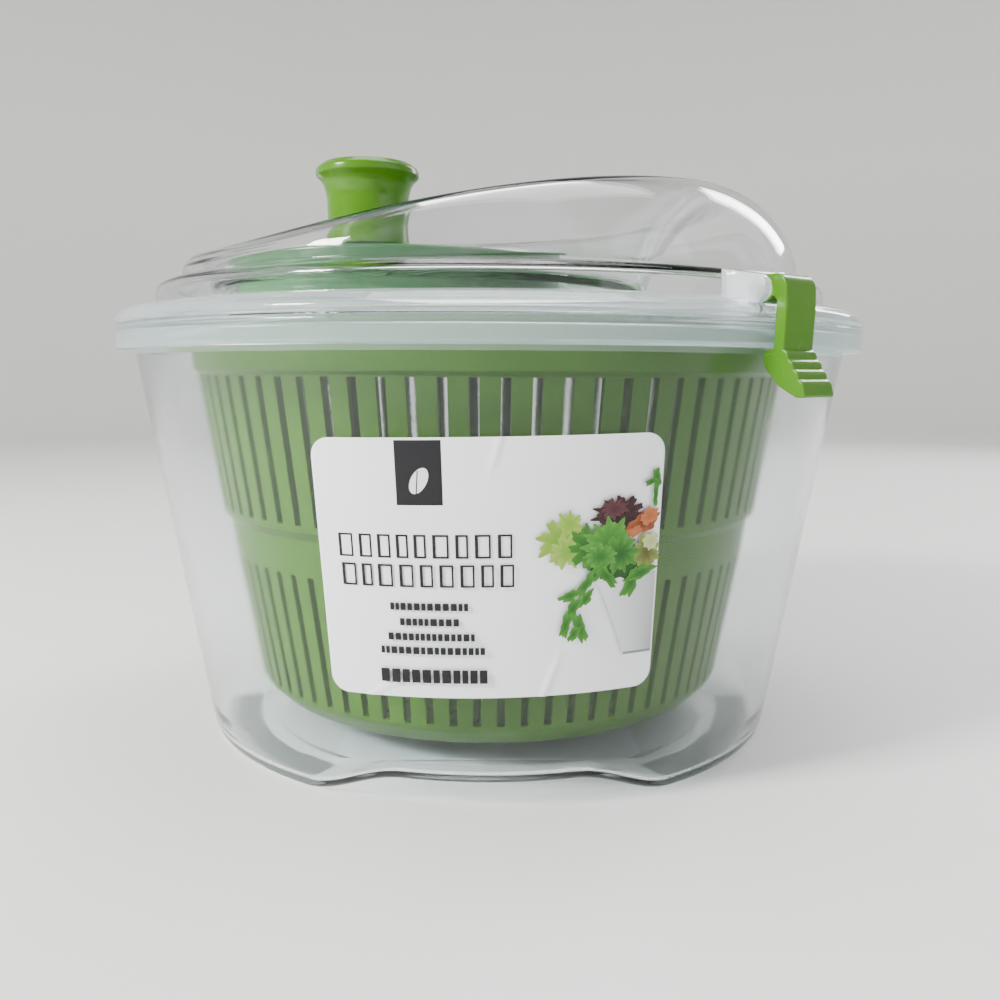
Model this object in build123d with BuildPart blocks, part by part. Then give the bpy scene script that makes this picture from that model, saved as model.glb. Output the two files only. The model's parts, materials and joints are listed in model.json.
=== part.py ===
"""Salad spinner: clear bowl on three feet, slotted basket, clear humped lid with a crank wheel.

Frame: origin on the table under the bowl's centre, +Z up, the printed label faces -Y. Millimetres.
The crank wheel carries an internal ring gear that drives a small pinion on the bowl's axis, and the
pinion turns a plate whose edge notches grip the ribs in the basket's rim.
"""

import os
from math import atan2, cos, pi, radians, sin, sqrt, tan

from build123d import *

os.makedirs("parts", exist_ok=True)

# Shared clearances
WALL = 2.0
RUN_GAP = 0.05        # radial clearance of a running or locating fit
FACE_GAP = 0.3        # clearance between faces that don't touch

# Bowl
RIM_R = 125.0
RIM_TOP = 133.4
SKIRT_BOTTOM = 126.2
BOWL_FOOT_R = 98.8    # outer radius just above the feet
BOWL_TOP_R = 120.1    # outer radius under the rim flange
CORNER = 2.0
FLOOR_UNDER = 1.0     # underside of the flat floor above the table
FLOOR_R = 80.0
FOOT_IN_R = 82.0
ARCH_COUNT = 3
ARCH_TOP = 9.0
ARCH_HALF = 29.0      # half width of the arch at its top
RAMP = 22.0           # length of the ramp down to the foot
ARCH_OUT_R = 97.0     # radius where the arch's sloping roof reaches ARCH_TOP
ARCH_FILLET = 30.0
PIVOT_BOSS_R = 9.0
PIVOT_BOSS_TOP = 7.4
PIN_R = 2.5
PIN_BOTTOM = 4.4
PIN_TOP = 12.6

# Labels
LABEL_SIZE = (87.5, 69.5)
LABEL_MID_Z = 68.7
LABEL_CORNER = 5.0
LABEL_THICK = 0.25
LABEL_GAP = 0.06
BASE_LABEL = (94.0, 46.0)
BASE_LABEL_Y = -43.0

# Basket
BASKET_BOTTOM = 11.0
BASKET_OUTLINE = [
    (82.0, 17.0),
    (89.6, 60.3),
    (91.2, 71.5),
    (93.4, 74.0),
    (100.3, 119.0),
    (101.6, 120.0),
    (102.5, 131.0),
]
BASKET_FLOOR_R = 76.0
SLOT_COUNT = 76
SLOT_WIDTH = 2.6
WALL_SLOTS = [(86.0, 18.5, 60.0), (97.0, 76.0, 118.5)]   # (radius, bottom, top) of each tier
WALL_SLOT_REACH = 14.0
FLOOR_SLOTS = [(62.0, 38), (35.0, 19)]                   # (radius, count) of each ring in the floor
FLOOR_SLOT_LENGTH = 20.0
HUB_R = 8.0
HUB_TOP = 16.0
WASHER_THICK = 1.0
RIB_COUNT = 6
RIB_WIDTH = 3.0
RIB_HEIGHT = 8.0
RIB_MID_Z = 126.5
RIB_IN_R = 97.6

# Lid
LID_BOTTOM = RIM_TOP + FACE_GAP
LID_EDGE_TOP = 135.8
LID_BEAD_TOP = 139.0
LID_BEAD_R = 115.0
LID_WALL_R = 112.5
SHOULDER_Z = 147.0
DOME_R = 104.5
DOME_ARC_R = 33.8
DOME_ARC_Z = 146.0
HUMP_AZIMUTH = 37.0   # the hump is high towards this side
HUMP_TOP = 179.6
HUMP_ROLL_R = 369.0
HUMP_CREST = 35.0
WELL_OFFSET = 25.0    # the well is centred this far from the axis, away from the hump
WELL_FLOOR = 147.0
WELL_WALL = [(70.6, 148.6), (73.8, 157.0), (80.5, 167.0), (87.5, 174.0), (101.0, 181.5)]
POCKET_R = 54.0
POCKET_FLOOR = 138.0
LIP_R = 116.4
LIP_BOTTOM = 127.5
LIP_WALL = 1.8

# Gears
MODULE = 1.5
RING_TEETH = 64
PINION_TEETH = 14
BACKLASH = 0.2
GEAR_BOTTOM = 139.8
GEAR_TOP = 148.6

# Crank wheel
WHEEL_R = 54.5
DRUM_R = 52.5
WHEEL_TOP = 155.0
WEB = 2.5
WHEEL_UNDER = 149.8
DRUM_BOTTOM = 139.0
POST_R = 5.0
WHEEL_HUB_R = 9.0
CUP_R = 12.0
CUP_FLOOR = 151.0
CRANK_ARM = 41.75
CRANK_AZIMUTH = -97.1

# Knob
KNOB_TOP = 177.8
KNOB_BOTTOM = WHEEL_TOP + FACE_GAP
KNOB_PIN_R = 3.5
KNOB_SEAT = 168.0
KNOB_CAP_R = 11.0

# Drive plate
BUSH_R = 6.5
SHAFT_R = 4.0
HEX_R = 3.6
PLATE_R = 99.6
PLATE_BOTTOM = 127.2
PLATE_THICK = 2.2
PLATE_HOLES = 12
PLATE_HOLE_R = 8.0
PLATE_HOLE_RING = 58.0
PLATE_HUB_R = 12.0
STIFFENERS = [(86.0, 88.0), (32.0, 34.0)]   # (inner, outer) radius of each raised ring
STIFFENER_RISE = 1.5

# Latches
LATCHES = {"right": -53.0, "left": 127.0}
LATCH_HALF = 6.2
HINGE_R = 122.0
HINGE_Z = 141.0
BARREL_R = 3.6
LUG_WALL = 3.0
LATCH_PIN_R = 1.5
RIB_R = 0.7

WHEEL_ARM = MODULE * (RING_TEETH - PINION_TEETH) / 2
HUMP = (cos(radians(HUMP_AZIMUTH)), sin(radians(HUMP_AZIMUTH)))
WHEEL_AXIS = (-WHEEL_ARM * HUMP[0], -WHEEL_ARM * HUMP[1])
WELL_AXIS = (-WELL_OFFSET * HUMP[0], -WELL_OFFSET * HUMP[1])
KNOB_AXIS = (
    WHEEL_AXIS[0] + CRANK_ARM * cos(radians(CRANK_AZIMUTH)),
    WHEEL_AXIS[1] + CRANK_ARM * sin(radians(CRANK_AZIMUTH)),
)
BOWL_SLOPE = (BOWL_TOP_R - BOWL_FOOT_R) / (RIM_TOP - WALL - CORNER)


def side_plane(axis):
    """Upright drawing plane through a vertical axis, x to the right and y up."""
    return Plane(origin=(axis[0], axis[1], 0), x_dir=(1, 0, 0), z_dir=(0, -1, 0))


def radial_plane(azimuth):
    """Upright drawing plane through the main axis: x points outwards at the azimuth, y points up."""
    turn = radians(azimuth)
    return Plane(origin=(0, 0, 0), x_dir=(cos(turn), sin(turn), 0), z_dir=(sin(turn), -cos(turn), 0))


def turned(axis, outline):
    """Solid of revolution about a vertical axis, from (radius, height) points of a closed outline."""
    with BuildPart() as body:
        with BuildSketch(side_plane(axis)):
            with BuildLine():
                Polyline(*outline, close=True)
            make_face()
        revolve(axis=Axis((axis[0], axis[1], 0), (0, 0, 1)))
    return body.part


def ring(axis, inner, outer, bottom, top):
    """Plain washer, bush or disc about a vertical axis."""
    return turned(axis, [(inner, bottom), (outer, bottom), (outer, top), (inner, top)])


def keep(body, name):
    """Name a finished piece and write it."""
    body.label = name
    export_step(body, f"parts/{name}.step")
    print(f"{name:18s} solids {len(body.solids())}  volume {body.volume / 1000:8.2f} cm3")


# ---------------------------------------------------------------- bowl
def bowl_wall_r(z):
    """Outer radius of the bowl's tapered wall at a height."""
    return BOWL_FOOT_R + BOWL_SLOPE * (z - CORNER)


def arch_cutter(inset):
    """The space under one foot arch: a wide flat-topped arch cut with a sloping roof."""
    ramp_angle = atan2(ARCH_TOP, RAMP)
    half = ARCH_HALF + inset * tan(ramp_angle / 2)
    top = ARCH_TOP + inset
    foot = -3.0
    reach = RAMP * (top - foot) / ARCH_TOP
    roof_angle = atan2(ARCH_TOP - FLOOR_UNDER, ARCH_OUT_R - FLOOR_R)
    start = (FLOOR_R - inset * sin(roof_angle), FLOOR_UNDER + inset * cos(roof_angle))
    low, high = [
        (start[0] + run * cos(roof_angle), start[1] + run * sin(roof_angle)) for run in (-6.0, 34.0)
    ]
    with BuildPart() as cutter:
        with BuildSketch(Plane.XZ.offset(FLOOR_R / 2)) as arch:
            with BuildLine():
                Polyline((-half - reach, foot), (-half, top), (half, top), (half + reach, foot), close=True)
            make_face()
            fillet(arch.vertices().group_by(Axis.Y)[-1], ARCH_FILLET)
        extrude(amount=FLOOR_R)
        with BuildSketch(Plane.XZ):
            with BuildLine():
                Polyline(low, high, (high[0], foot - 1), (low[0], foot - 1), close=True)
            make_face()
        revolve(axis=Axis.Z, mode=Mode.INTERSECT)
    return cutter.part


def bowl_form(inset):
    """The solid inside the bowl's outer skin, with the skin moved inwards by the inset."""
    cutter = arch_cutter(inset)
    with BuildPart() as form:
        with BuildSketch(Plane.XZ):
            with BuildLine():
                Polyline(
                    (0, FLOOR_UNDER + inset),
                    (FLOOR_R, FLOOR_UNDER + inset),
                    (FOOT_IN_R, inset),
                    (BOWL_FOOT_R - CORNER - inset / 2, inset),
                    (BOWL_FOOT_R - inset, CORNER + inset / 2),
                    (bowl_wall_r(RIM_TOP + inset) - inset, RIM_TOP + inset),
                    (0, RIM_TOP + inset),
                    close=True,
                )
            make_face()
        revolve(axis=Axis.Z)
        with PolarLocations(0, ARCH_COUNT):
            add(cutter, mode=Mode.SUBTRACT)
    return form.part


def make_bowl():
    outside = bowl_form(0)
    inside = bowl_form(WALL)
    rim_in = bowl_wall_r(RIM_TOP) - WALL
    with BuildPart() as bowl:
        add(outside)
        with BuildSketch(Plane.XZ):
            with BuildLine():
                Polyline(
                    (rim_in - 1, RIM_TOP),
                    (RIM_R - 1, RIM_TOP),
                    (RIM_R, RIM_TOP - 1),
                    (RIM_R, SKIRT_BOTTOM),
                    (RIM_R - WALL, SKIRT_BOTTOM),
                    (RIM_R - WALL, RIM_TOP - WALL),
                    (rim_in - 1, RIM_TOP - WALL),
                    close=True,
                )
            make_face()
        revolve(axis=Axis.Z)
        add(inside, mode=Mode.SUBTRACT)
        with BuildSketch(Plane.XY.offset(FLOOR_UNDER)):
            Circle(PIVOT_BOSS_R)
        extrude(amount=PIVOT_BOSS_TOP - FLOOR_UNDER)
        with BuildSketch(Plane.XY.offset(PIN_BOTTOM)):
            Circle(PIN_R + RUN_GAP)
        extrude(amount=PIVOT_BOSS_TOP, mode=Mode.SUBTRACT)
    return bowl.part


def make_front_label():
    """Paper skin on the tapered wall, cut to a rounded rectangle from the front."""
    low = LABEL_MID_Z - LABEL_SIZE[1]
    high = LABEL_MID_Z + LABEL_SIZE[1]
    near = LABEL_GAP
    far = LABEL_GAP + LABEL_THICK
    with BuildPart() as label:
        with BuildSketch(Plane.XZ):
            with BuildLine():
                Polyline(
                    (bowl_wall_r(low) + near, low),
                    (bowl_wall_r(low) + far, low),
                    (bowl_wall_r(high) + far, high),
                    (bowl_wall_r(high) + near, high),
                    close=True,
                )
            make_face()
        revolve(axis=Axis.Z)
        with BuildSketch(Plane.XZ.offset(FLOOR_R)):
            with Locations((0, LABEL_MID_Z)):
                RectangleRounded(*LABEL_SIZE, LABEL_CORNER)
        extrude(amount=RIM_R, mode=Mode.INTERSECT)
    return label.part


def make_base_label():
    """Sticker under the flat floor, clear of the table."""
    with BuildPart() as label:
        with BuildSketch(Plane.XY.offset(FLOOR_UNDER - LABEL_GAP - LABEL_THICK)):
            with Locations((0, BASE_LABEL_Y)):
                RectangleRounded(*BASE_LABEL, LABEL_CORNER)
        extrude(amount=LABEL_THICK)
    return label.part


# ---------------------------------------------------------------- basket
def basket_form(inset):
    """The solid inside the basket's outer skin, with the skin moved inwards by the inset."""
    wall = [(r - inset, z) for r, z in BASKET_OUTLINE]
    top = BASKET_OUTLINE[-1][1] + inset
    outline = [(0, BASKET_BOTTOM + inset), (BASKET_FLOOR_R - inset / 2, BASKET_BOTTOM + inset)]
    outline += wall[:-1] + [(wall[-1][0], top), (0, top)]
    return turned((0, 0), outline)


def cut_slots(radius, length, count, bottom, top):
    """Cut a ring of slots out of the part being built."""
    with PolarLocations(radius, count, start_angle=180.0 / count):
        with Locations((0, 0, (bottom + top) / 2)):
            Box(length, SLOT_WIDTH, top - bottom, mode=Mode.SUBTRACT)


def make_basket():
    outside = basket_form(0)
    inside = basket_form(WALL)
    hub_bottom = PIVOT_BOSS_TOP + WASHER_THICK + 0.2
    rib_out_r = BASKET_OUTLINE[-1][0] - WALL + 0.5
    with BuildPart() as basket:
        add(outside)
        add(inside, mode=Mode.SUBTRACT)
        with BuildSketch(Plane.XY.offset(hub_bottom)):
            Circle(HUB_R)
        extrude(amount=HUB_TOP - hub_bottom)
        with BuildSketch(Plane.XY.offset(hub_bottom)):
            Circle(PIN_R + RUN_GAP)
        extrude(amount=PIN_TOP - hub_bottom + 0.4, mode=Mode.SUBTRACT)
        for radius, bottom, top in WALL_SLOTS:
            cut_slots(radius, WALL_SLOT_REACH, SLOT_COUNT, bottom, top)
        for radius, count in FLOOR_SLOTS:
            cut_slots(radius, FLOOR_SLOT_LENGTH, count, BASKET_BOTTOM - 1, BASKET_BOTTOM + WALL + 1)
        with PolarLocations((RIB_IN_R + rib_out_r) / 2, RIB_COUNT):
            with Locations((0, 0, RIB_MID_Z)):
                Box(rib_out_r - RIB_IN_R, RIB_WIDTH, RIB_HEIGHT)
    return basket.part


# ---------------------------------------------------------------- lid
def lid_form(inset):
    """The solid under the lid's outer skin: stepped base, round-edged dome, rolled top, well and pocket."""
    arc_r = DOME_ARC_R - inset
    arc_in = DOME_R - DOME_ARC_R
    shoulder = SHOULDER_Z - inset
    arc_end = (arc_in + sqrt(arc_r ** 2 - (shoulder - DOME_ARC_Z) ** 2), shoulder)
    arc_top = DOME_ARC_Z + arc_r
    middle = (arc_in + arc_r * cos(pi / 4), DOME_ARC_Z + arc_r * sin(pi / 4))
    base = LID_BOTTOM - 2 * inset
    roll_plane = radial_plane(HUMP_AZIMUTH)
    well_wall = [(r + 0.8 * inset, z - 0.6 * inset) for r, z in WELL_WALL]
    sky = 220.0
    with BuildPart() as form:
        with BuildSketch(Plane.XZ):
            with BuildLine():
                Polyline((0, arc_top), (0, base), (LID_WALL_R - inset, base), (LID_WALL_R - inset, shoulder - 1),
                         (LID_WALL_R - inset - 1, shoulder), arc_end)
                ThreePointArc(arc_end, middle, (arc_in, arc_top))
                Line((arc_in, arc_top), (0, arc_top))
            make_face()
        revolve(axis=Axis.Z)
        with BuildSketch(roll_plane):
            with Locations((HUMP_CREST, HUMP_TOP - HUMP_ROLL_R)):
                Circle(HUMP_ROLL_R - inset)
            with Locations((0, HUMP_TOP)):
                Rectangle(2 * RIM_R, 2 * (HUMP_TOP - base + 1), mode=Mode.INTERSECT)
        extrude(amount=RIM_R, both=True, mode=Mode.INTERSECT)
        with BuildSketch(side_plane(WELL_AXIS)):
            with BuildLine():
                Polyline((0, sky), (0, WELL_FLOOR - inset), (well_wall[0][0] - 1.5, WELL_FLOOR - inset),
                         well_wall[0])
                Spline(*well_wall)
                Polyline(well_wall[-1], (well_wall[-1][0], sky), (0, sky))
            make_face()
        revolve(axis=Axis((*WELL_AXIS, 0), (0, 0, 1)), mode=Mode.SUBTRACT)
        with BuildSketch(Plane.XY.offset(POCKET_FLOOR - inset)):
            with Locations(WHEEL_AXIS):
                Circle(POCKET_R + inset)
        extrude(amount=WELL_FLOOR - POCKET_FLOOR + 1, mode=Mode.SUBTRACT)
    return form.part


def make_lid():
    outside = lid_form(0)
    inside = lid_form(WALL)
    bead_out = (RIM_R, LID_EDGE_TOP)
    bead_in = (LID_BEAD_R, LID_BEAD_TOP)
    bead_mid = ((RIM_R + LID_BEAD_R) / 2 + 1.6, (LID_EDGE_TOP + LID_BEAD_TOP) / 2 + 1.0)
    wall_in = LID_WALL_R - WALL
    with BuildPart() as lid:
        add(outside)
        add(inside, mode=Mode.SUBTRACT)
        with BuildSketch(Plane.XZ):
            with BuildLine():
                Polyline(bead_in, (wall_in, LID_BEAD_TOP), (wall_in, LID_BOTTOM),
                         (LIP_R - LIP_WALL, LID_BOTTOM),
                         (LIP_R - LIP_WALL, LIP_BOTTOM), (LIP_R, LIP_BOTTOM), (LIP_R, LID_BOTTOM + WALL),
                         (RIM_R - WALL, LID_BOTTOM + WALL), (RIM_R - WALL, LID_BOTTOM),
                         (RIM_R, LID_BOTTOM), bead_out)
                ThreePointArc(bead_out, bead_mid, bead_in)
            make_face()
        revolve(axis=Axis.Z)
        # axle post of the crank wheel, with its screw hole
        with BuildSketch(Plane.XY.offset(POCKET_FLOOR - 1)):
            with Locations(WHEEL_AXIS):
                Circle(POST_R)
        extrude(amount=CUP_FLOOR - POCKET_FLOOR + 1)
        with BuildSketch(Plane.XY.offset(CUP_FLOOR)):
            with Locations(WHEEL_AXIS):
                Circle(SHAFT_R / 2)
        extrude(amount=-10, mode=Mode.SUBTRACT)
        # boss and bore of the pinion's bush
        with BuildSketch(Plane.XY.offset(LID_BOTTOM)):
            Circle(BUSH_R + 3)
        extrude(amount=POCKET_FLOOR - LID_BOTTOM - 0.5)
        with BuildSketch(Plane.XY.offset(LID_BOTTOM - 1)):
            Circle(BUSH_R + RUN_GAP)
        extrude(amount=POCKET_FLOOR - LID_BOTTOM + 3, mode=Mode.SUBTRACT)
        # hinge lugs, and the gap between them in the bead
        for azimuth in LATCHES.values():
            plane = radial_plane(azimuth)
            with BuildSketch(plane):
                with Locations((HINGE_R - BARREL_R - 1, HINGE_Z - BARREL_R - 0.5)):
                    Rectangle(15, 15, align=(Align.MIN, Align.MIN))
            extrude(amount=LATCH_HALF + 0.4, both=True, mode=Mode.SUBTRACT)
            for side in (-1, 1):
                start = side * (LATCH_HALF + 0.4)
                with BuildSketch(plane.offset(start)):
                    with BuildLine():
                        Polyline((LID_WALL_R - 1, LID_BOTTOM + 3), (HINGE_R, LID_BOTTOM + 3),
                                 (HINGE_R, HINGE_Z + BARREL_R), (LID_WALL_R - 1, HINGE_Z + BARREL_R + 2),
                                 close=True)
                    make_face()
                    with Locations((HINGE_R, HINGE_Z)):
                        Circle(BARREL_R)
                        Circle(LATCH_PIN_R + RUN_GAP, mode=Mode.SUBTRACT)
                extrude(amount=side * LUG_WALL)
    return lid.part


# ---------------------------------------------------------------- crank wheel and gears
def ring_gear_tooth():
    """One inward tooth of the ring gear as (radius, half width) corners."""
    pitch_r = MODULE * RING_TEETH / 2
    half = pi * MODULE / 4 - BACKLASH / 2
    lean = tan(radians(20))
    tip = pitch_r - 0.8 * MODULE
    root = pitch_r + 1.35 * MODULE
    return [(tip, half - lean * (pitch_r - tip)), (root, half + lean * (root - pitch_r))]


def pinion_tooth():
    """One outward tooth of the pinion as (radius, half width) corners."""
    pitch_r = MODULE * PINION_TEETH / 2
    half = pi * MODULE / 4 - BACKLASH / 2
    return [(pitch_r - 1.3 * MODULE, half + 0.25), (pitch_r, half), (pitch_r + 0.8 * MODULE, half - 0.6)]


def make_tooth(corners):
    """One gear tooth along +X: (radius, half width) corners mirrored about the centre line."""
    with BuildPart() as tooth:
        with BuildSketch(Plane.XY.offset(GEAR_BOTTOM)):
            Polygon(*corners, *[(r, -w) for r, w in reversed(corners)], align=None)
        extrude(amount=GEAR_TOP - GEAR_BOTTOM)
    return tooth.part


def make_crank_wheel():
    root_r = MODULE * RING_TEETH / 2 + 1.2 * MODULE
    web_under = WHEEL_TOP - WEB
    bore = POST_R + RUN_GAP
    hub_bottom = POCKET_FLOOR + 1.2
    body = turned(WHEEL_AXIS, [
        (bore, hub_bottom), (WHEEL_HUB_R, hub_bottom), (WHEEL_HUB_R, CUP_FLOOR - WALL),
        (CUP_R + WALL, CUP_FLOOR - WALL), (CUP_R + WALL, web_under), (root_r, web_under), (root_r, DRUM_BOTTOM),
        (DRUM_R, DRUM_BOTTOM), (DRUM_R, WHEEL_UNDER), (WHEEL_R, WHEEL_UNDER), (WHEEL_R, WHEEL_TOP - 1),
        (WHEEL_R - 1, WHEEL_TOP), (CUP_R, WHEEL_TOP), (CUP_R, CUP_FLOOR), (bore, CUP_FLOOR)])
    tooth_angle = 360.0 / RING_TEETH
    tooth = make_tooth(ring_gear_tooth())
    with BuildPart() as wheel:
        add(body)
        with Locations(WHEEL_AXIS):
            with PolarLocations(0, RING_TEETH, start_angle=HUMP_AZIMUTH + tooth_angle / 2):
                add(tooth)
        with BuildSketch(Plane.XY.offset(web_under - 1)):
            with Locations(KNOB_AXIS):
                Circle(KNOB_PIN_R + RUN_GAP)
        extrude(amount=WEB + 2, mode=Mode.SUBTRACT)
    return wheel.part


def make_pinion():
    """Pinion, round shaft through the bush, and a hexagon for the plate."""
    root_r = MODULE * PINION_TEETH / 2 - 1.2 * MODULE
    tooth = make_tooth(pinion_tooth())
    hex_top = LID_BOTTOM - FACE_GAP
    with BuildPart() as pinion:
        with BuildSketch(Plane.XY.offset(GEAR_BOTTOM)):
            Circle(root_r)
        extrude(amount=GEAR_TOP - GEAR_BOTTOM)
        with PolarLocations(0, PINION_TEETH, start_angle=HUMP_AZIMUTH):
            add(tooth)
        with BuildSketch(Plane.XY.offset(hex_top)):
            Circle(SHAFT_R)
        extrude(amount=GEAR_BOTTOM - hex_top)
        with BuildSketch(Plane.XY.offset(PLATE_BOTTOM)):
            RegularPolygon(HEX_R, 6)
        extrude(amount=hex_top - PLATE_BOTTOM)
        with BuildSketch(Plane.XY.offset(PLATE_BOTTOM)):
            Circle(1.5)
        extrude(amount=8, mode=Mode.SUBTRACT)
    return pinion.part


def make_drive_plate():
    """Disc under the lid: hub on the pinion's hexagon, notched edge, drain holes and a stiffening ring."""
    hub_top = LID_BOTTOM - 2 * FACE_GAP
    with BuildPart() as plate:
        with BuildSketch(Plane.XY.offset(PLATE_BOTTOM)):
            Circle(PLATE_R)
            with PolarLocations(PLATE_R, RIB_COUNT):
                Rectangle(2 * (PLATE_R - RIB_IN_R + 0.8), RIB_WIDTH + 1.0, mode=Mode.SUBTRACT)
            with PolarLocations(PLATE_HOLE_RING, PLATE_HOLES):
                Circle(PLATE_HOLE_R, mode=Mode.SUBTRACT)
        extrude(amount=PLATE_THICK)
        for inner, outer in STIFFENERS:
            with BuildSketch(Plane.XY.offset(PLATE_BOTTOM)):
                Circle(outer)
                Circle(inner, mode=Mode.SUBTRACT)
            extrude(amount=PLATE_THICK + STIFFENER_RISE)
        with BuildSketch(Plane.XY.offset(PLATE_BOTTOM)):
            Circle(PLATE_HUB_R)
        extrude(amount=hub_top - PLATE_BOTTOM)
        with BuildSketch(Plane.XY.offset(PLATE_BOTTOM)):
            RegularPolygon(HEX_R + RUN_GAP, 6)
        extrude(amount=hub_top - PLATE_BOTTOM, mode=Mode.SUBTRACT)
    return plate.part


def make_bush():
    """Flanged bush that the pinion's shaft turns in."""
    return turned((0, 0), [
        (SHAFT_R + RUN_GAP, LID_BOTTOM), (BUSH_R, LID_BOTTOM), (BUSH_R, POCKET_FLOOR), (BUSH_R + 2, POCKET_FLOOR),
        (BUSH_R + 2, POCKET_FLOOR + 1.2), (SHAFT_R + RUN_GAP, POCKET_FLOOR + 1.2)])


def make_screw(axis, head_r, head_base, head_height, shank_r, shank_length):
    """Pan-head screw, head up when the length is positive and head down when it is negative."""
    way = 1 if shank_length > 0 else -1
    with BuildPart() as screw:
        with BuildSketch(Plane.XY.offset(head_base)):
            with Locations(axis):
                Circle(head_r)
        extrude(amount=way * head_height)
        with BuildSketch(Plane.XY.offset(head_base)):
            with Locations(axis):
                Circle(shank_r)
        extrude(amount=-shank_length)
        with BuildSketch(Plane.XY.offset(head_base + way * head_height)):
            with Locations(axis):
                Rectangle(1.4 * head_r, 0.8)
                Rectangle(0.8, 1.4 * head_r)
        extrude(amount=-way * head_height / 2, mode=Mode.SUBTRACT)
    return screw.part


# ---------------------------------------------------------------- knob
def make_knob():
    """Waisted knob with a flared cap, hollow for its pin and closed by a plug."""
    bore = KNOB_PIN_R + RUN_GAP
    recess = KNOB_CAP_R + RUN_GAP
    flare = KNOB_TOP - 3.6
    with BuildPart() as knob:
        with BuildSketch(side_plane(KNOB_AXIS)):
            with BuildLine():
                Polyline((bore, KNOB_BOTTOM), (11.9, KNOB_BOTTOM))
                Spline((11.9, KNOB_BOTTOM), (11.4, 162.5), (11.9, 169.3), (13.9, flare - 1.2))
                ThreePointArc((13.9, flare - 1.2), (14.65, flare), (14.2, KNOB_TOP - 1.4))
                ThreePointArc((14.2, KNOB_TOP - 1.4), (13.4, KNOB_TOP - 0.4), (12.4, KNOB_TOP))
                Polyline((12.4, KNOB_TOP), (recess, KNOB_TOP - 0.4), (recess, KNOB_SEAT + 5),
                         (7.5, KNOB_SEAT + 5), (7.5, KNOB_SEAT), (bore, KNOB_SEAT), (bore, KNOB_BOTTOM))
            make_face()
        revolve(axis=Axis((*KNOB_AXIS, 0), (0, 0, 1)))
    return knob.part


def make_knob_post():
    """Shouldered pin through the wheel's web, with a head underneath."""
    web_under = WHEEL_TOP - WEB
    with BuildPart() as post:
        with BuildSketch(Plane.XY.offset(web_under)):
            with Locations(KNOB_AXIS):
                Circle(KNOB_PIN_R)
        extrude(amount=KNOB_SEAT + FACE_GAP - web_under)
        with BuildSketch(Plane.XY.offset(web_under)):
            with Locations(KNOB_AXIS):
                Circle(KNOB_PIN_R + 2)
        extrude(amount=-1.5)
        with BuildSketch(Plane.XY.offset(KNOB_SEAT + FACE_GAP)):
            with Locations(KNOB_AXIS):
                Circle(1.25)
        extrude(amount=-8, mode=Mode.SUBTRACT)
    return post.part


# ---------------------------------------------------------------- latches
def make_latch(azimuth):
    """Strap from the hinge barrel down the rim, a catch under the bowl's skirt and a ribbed finger tab."""
    knee = (129.5, 125.2)
    tip = (136.6, 116.5)
    with BuildPart() as latch:
        with BuildSketch(radial_plane(azimuth)):
            with BuildLine():
                Polyline((HINGE_R, HINGE_Z + BARREL_R), (127.0, HINGE_Z + BARREL_R), (129.5, 142.4), knee, tip,
                         (135.0, 115.0), (126.6, 120.6), (122.4, 122.3), (122.4, SKIRT_BOTTOM - 0.7),
                         (126.0, SKIRT_BOTTOM - 0.5), (126.0, 139.5), (HINGE_R, HINGE_Z), close=True)
            make_face()
            with Locations((HINGE_R, HINGE_Z)):
                Circle(BARREL_R)
            for step in (0.30, 0.52, 0.74, 0.96):
                with Locations((knee[0] + step * (tip[0] - knee[0]), knee[1] + step * (tip[1] - knee[1]))):
                    Circle(RIB_R)
            with Locations((HINGE_R, HINGE_Z)):
                Circle(LATCH_PIN_R + RUN_GAP, mode=Mode.SUBTRACT)
        extrude(amount=LATCH_HALF, both=True)
    return latch.part


def make_latch_pin(azimuth):
    with BuildPart() as pin:
        with BuildSketch(radial_plane(azimuth)):
            with Locations((HINGE_R, HINGE_Z)):
                Circle(LATCH_PIN_R)
        extrude(amount=LATCH_HALF + 0.4 + LUG_WALL, both=True)
    return pin.part


# ---------------------------------------------------------------- write every piece
keep(make_bowl(), "bowl")
keep(make_front_label(), "front_label")
keep(make_base_label(), "base_label")
keep(ring((0, 0), 0, PIN_R, PIN_BOTTOM, PIN_TOP), "pivot_pin")
washer_bottom = PIVOT_BOSS_TOP + 0.1
keep(ring((0, 0), PIN_R + 0.4, HUB_R - 1, washer_bottom, washer_bottom + WASHER_THICK), "thrust_washer")
keep(make_basket(), "basket")
keep(make_lid(), "lid")
keep(make_bush(), "pinion_bush")
keep(make_crank_wheel(), "crank_wheel")
keep(ring(WHEEL_AXIS, 2.2, 8.5, CUP_FLOOR + 0.1, CUP_FLOOR + 0.9), "wheel_washer")
keep(make_screw(WHEEL_AXIS, 3.6, CUP_FLOOR + 0.9, 2.0, 1.9, 8.0), "wheel_screw")
keep(ring(WHEEL_AXIS, 0, CUP_R - RUN_GAP, WHEEL_TOP - 1.0, WHEEL_TOP + 0.8), "wheel_cap")
keep(make_knob_post(), "knob_post")
keep(make_knob(), "knob")
keep(ring(KNOB_AXIS, 1.5, 6.5, KNOB_SEAT + FACE_GAP, KNOB_SEAT + FACE_GAP + 0.8), "knob_washer")
keep(make_screw(KNOB_AXIS, 3.0, KNOB_SEAT + FACE_GAP + 0.8, 1.8, 1.2, 7.0), "knob_screw")
keep(ring(KNOB_AXIS, 0, KNOB_CAP_R, KNOB_SEAT + 6, KNOB_TOP - 1.0), "knob_cap")
keep(make_pinion(), "drive_pinion")
keep(make_drive_plate(), "drive_plate")
keep(ring((0, 0), 1.8, 7.0, PLATE_BOTTOM - 1.0, PLATE_BOTTOM - 0.1), "plate_washer")
keep(make_screw((0, 0), 3.2, PLATE_BOTTOM - 1.0, 1.9, 1.45, -7.0), "plate_screw")
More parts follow.
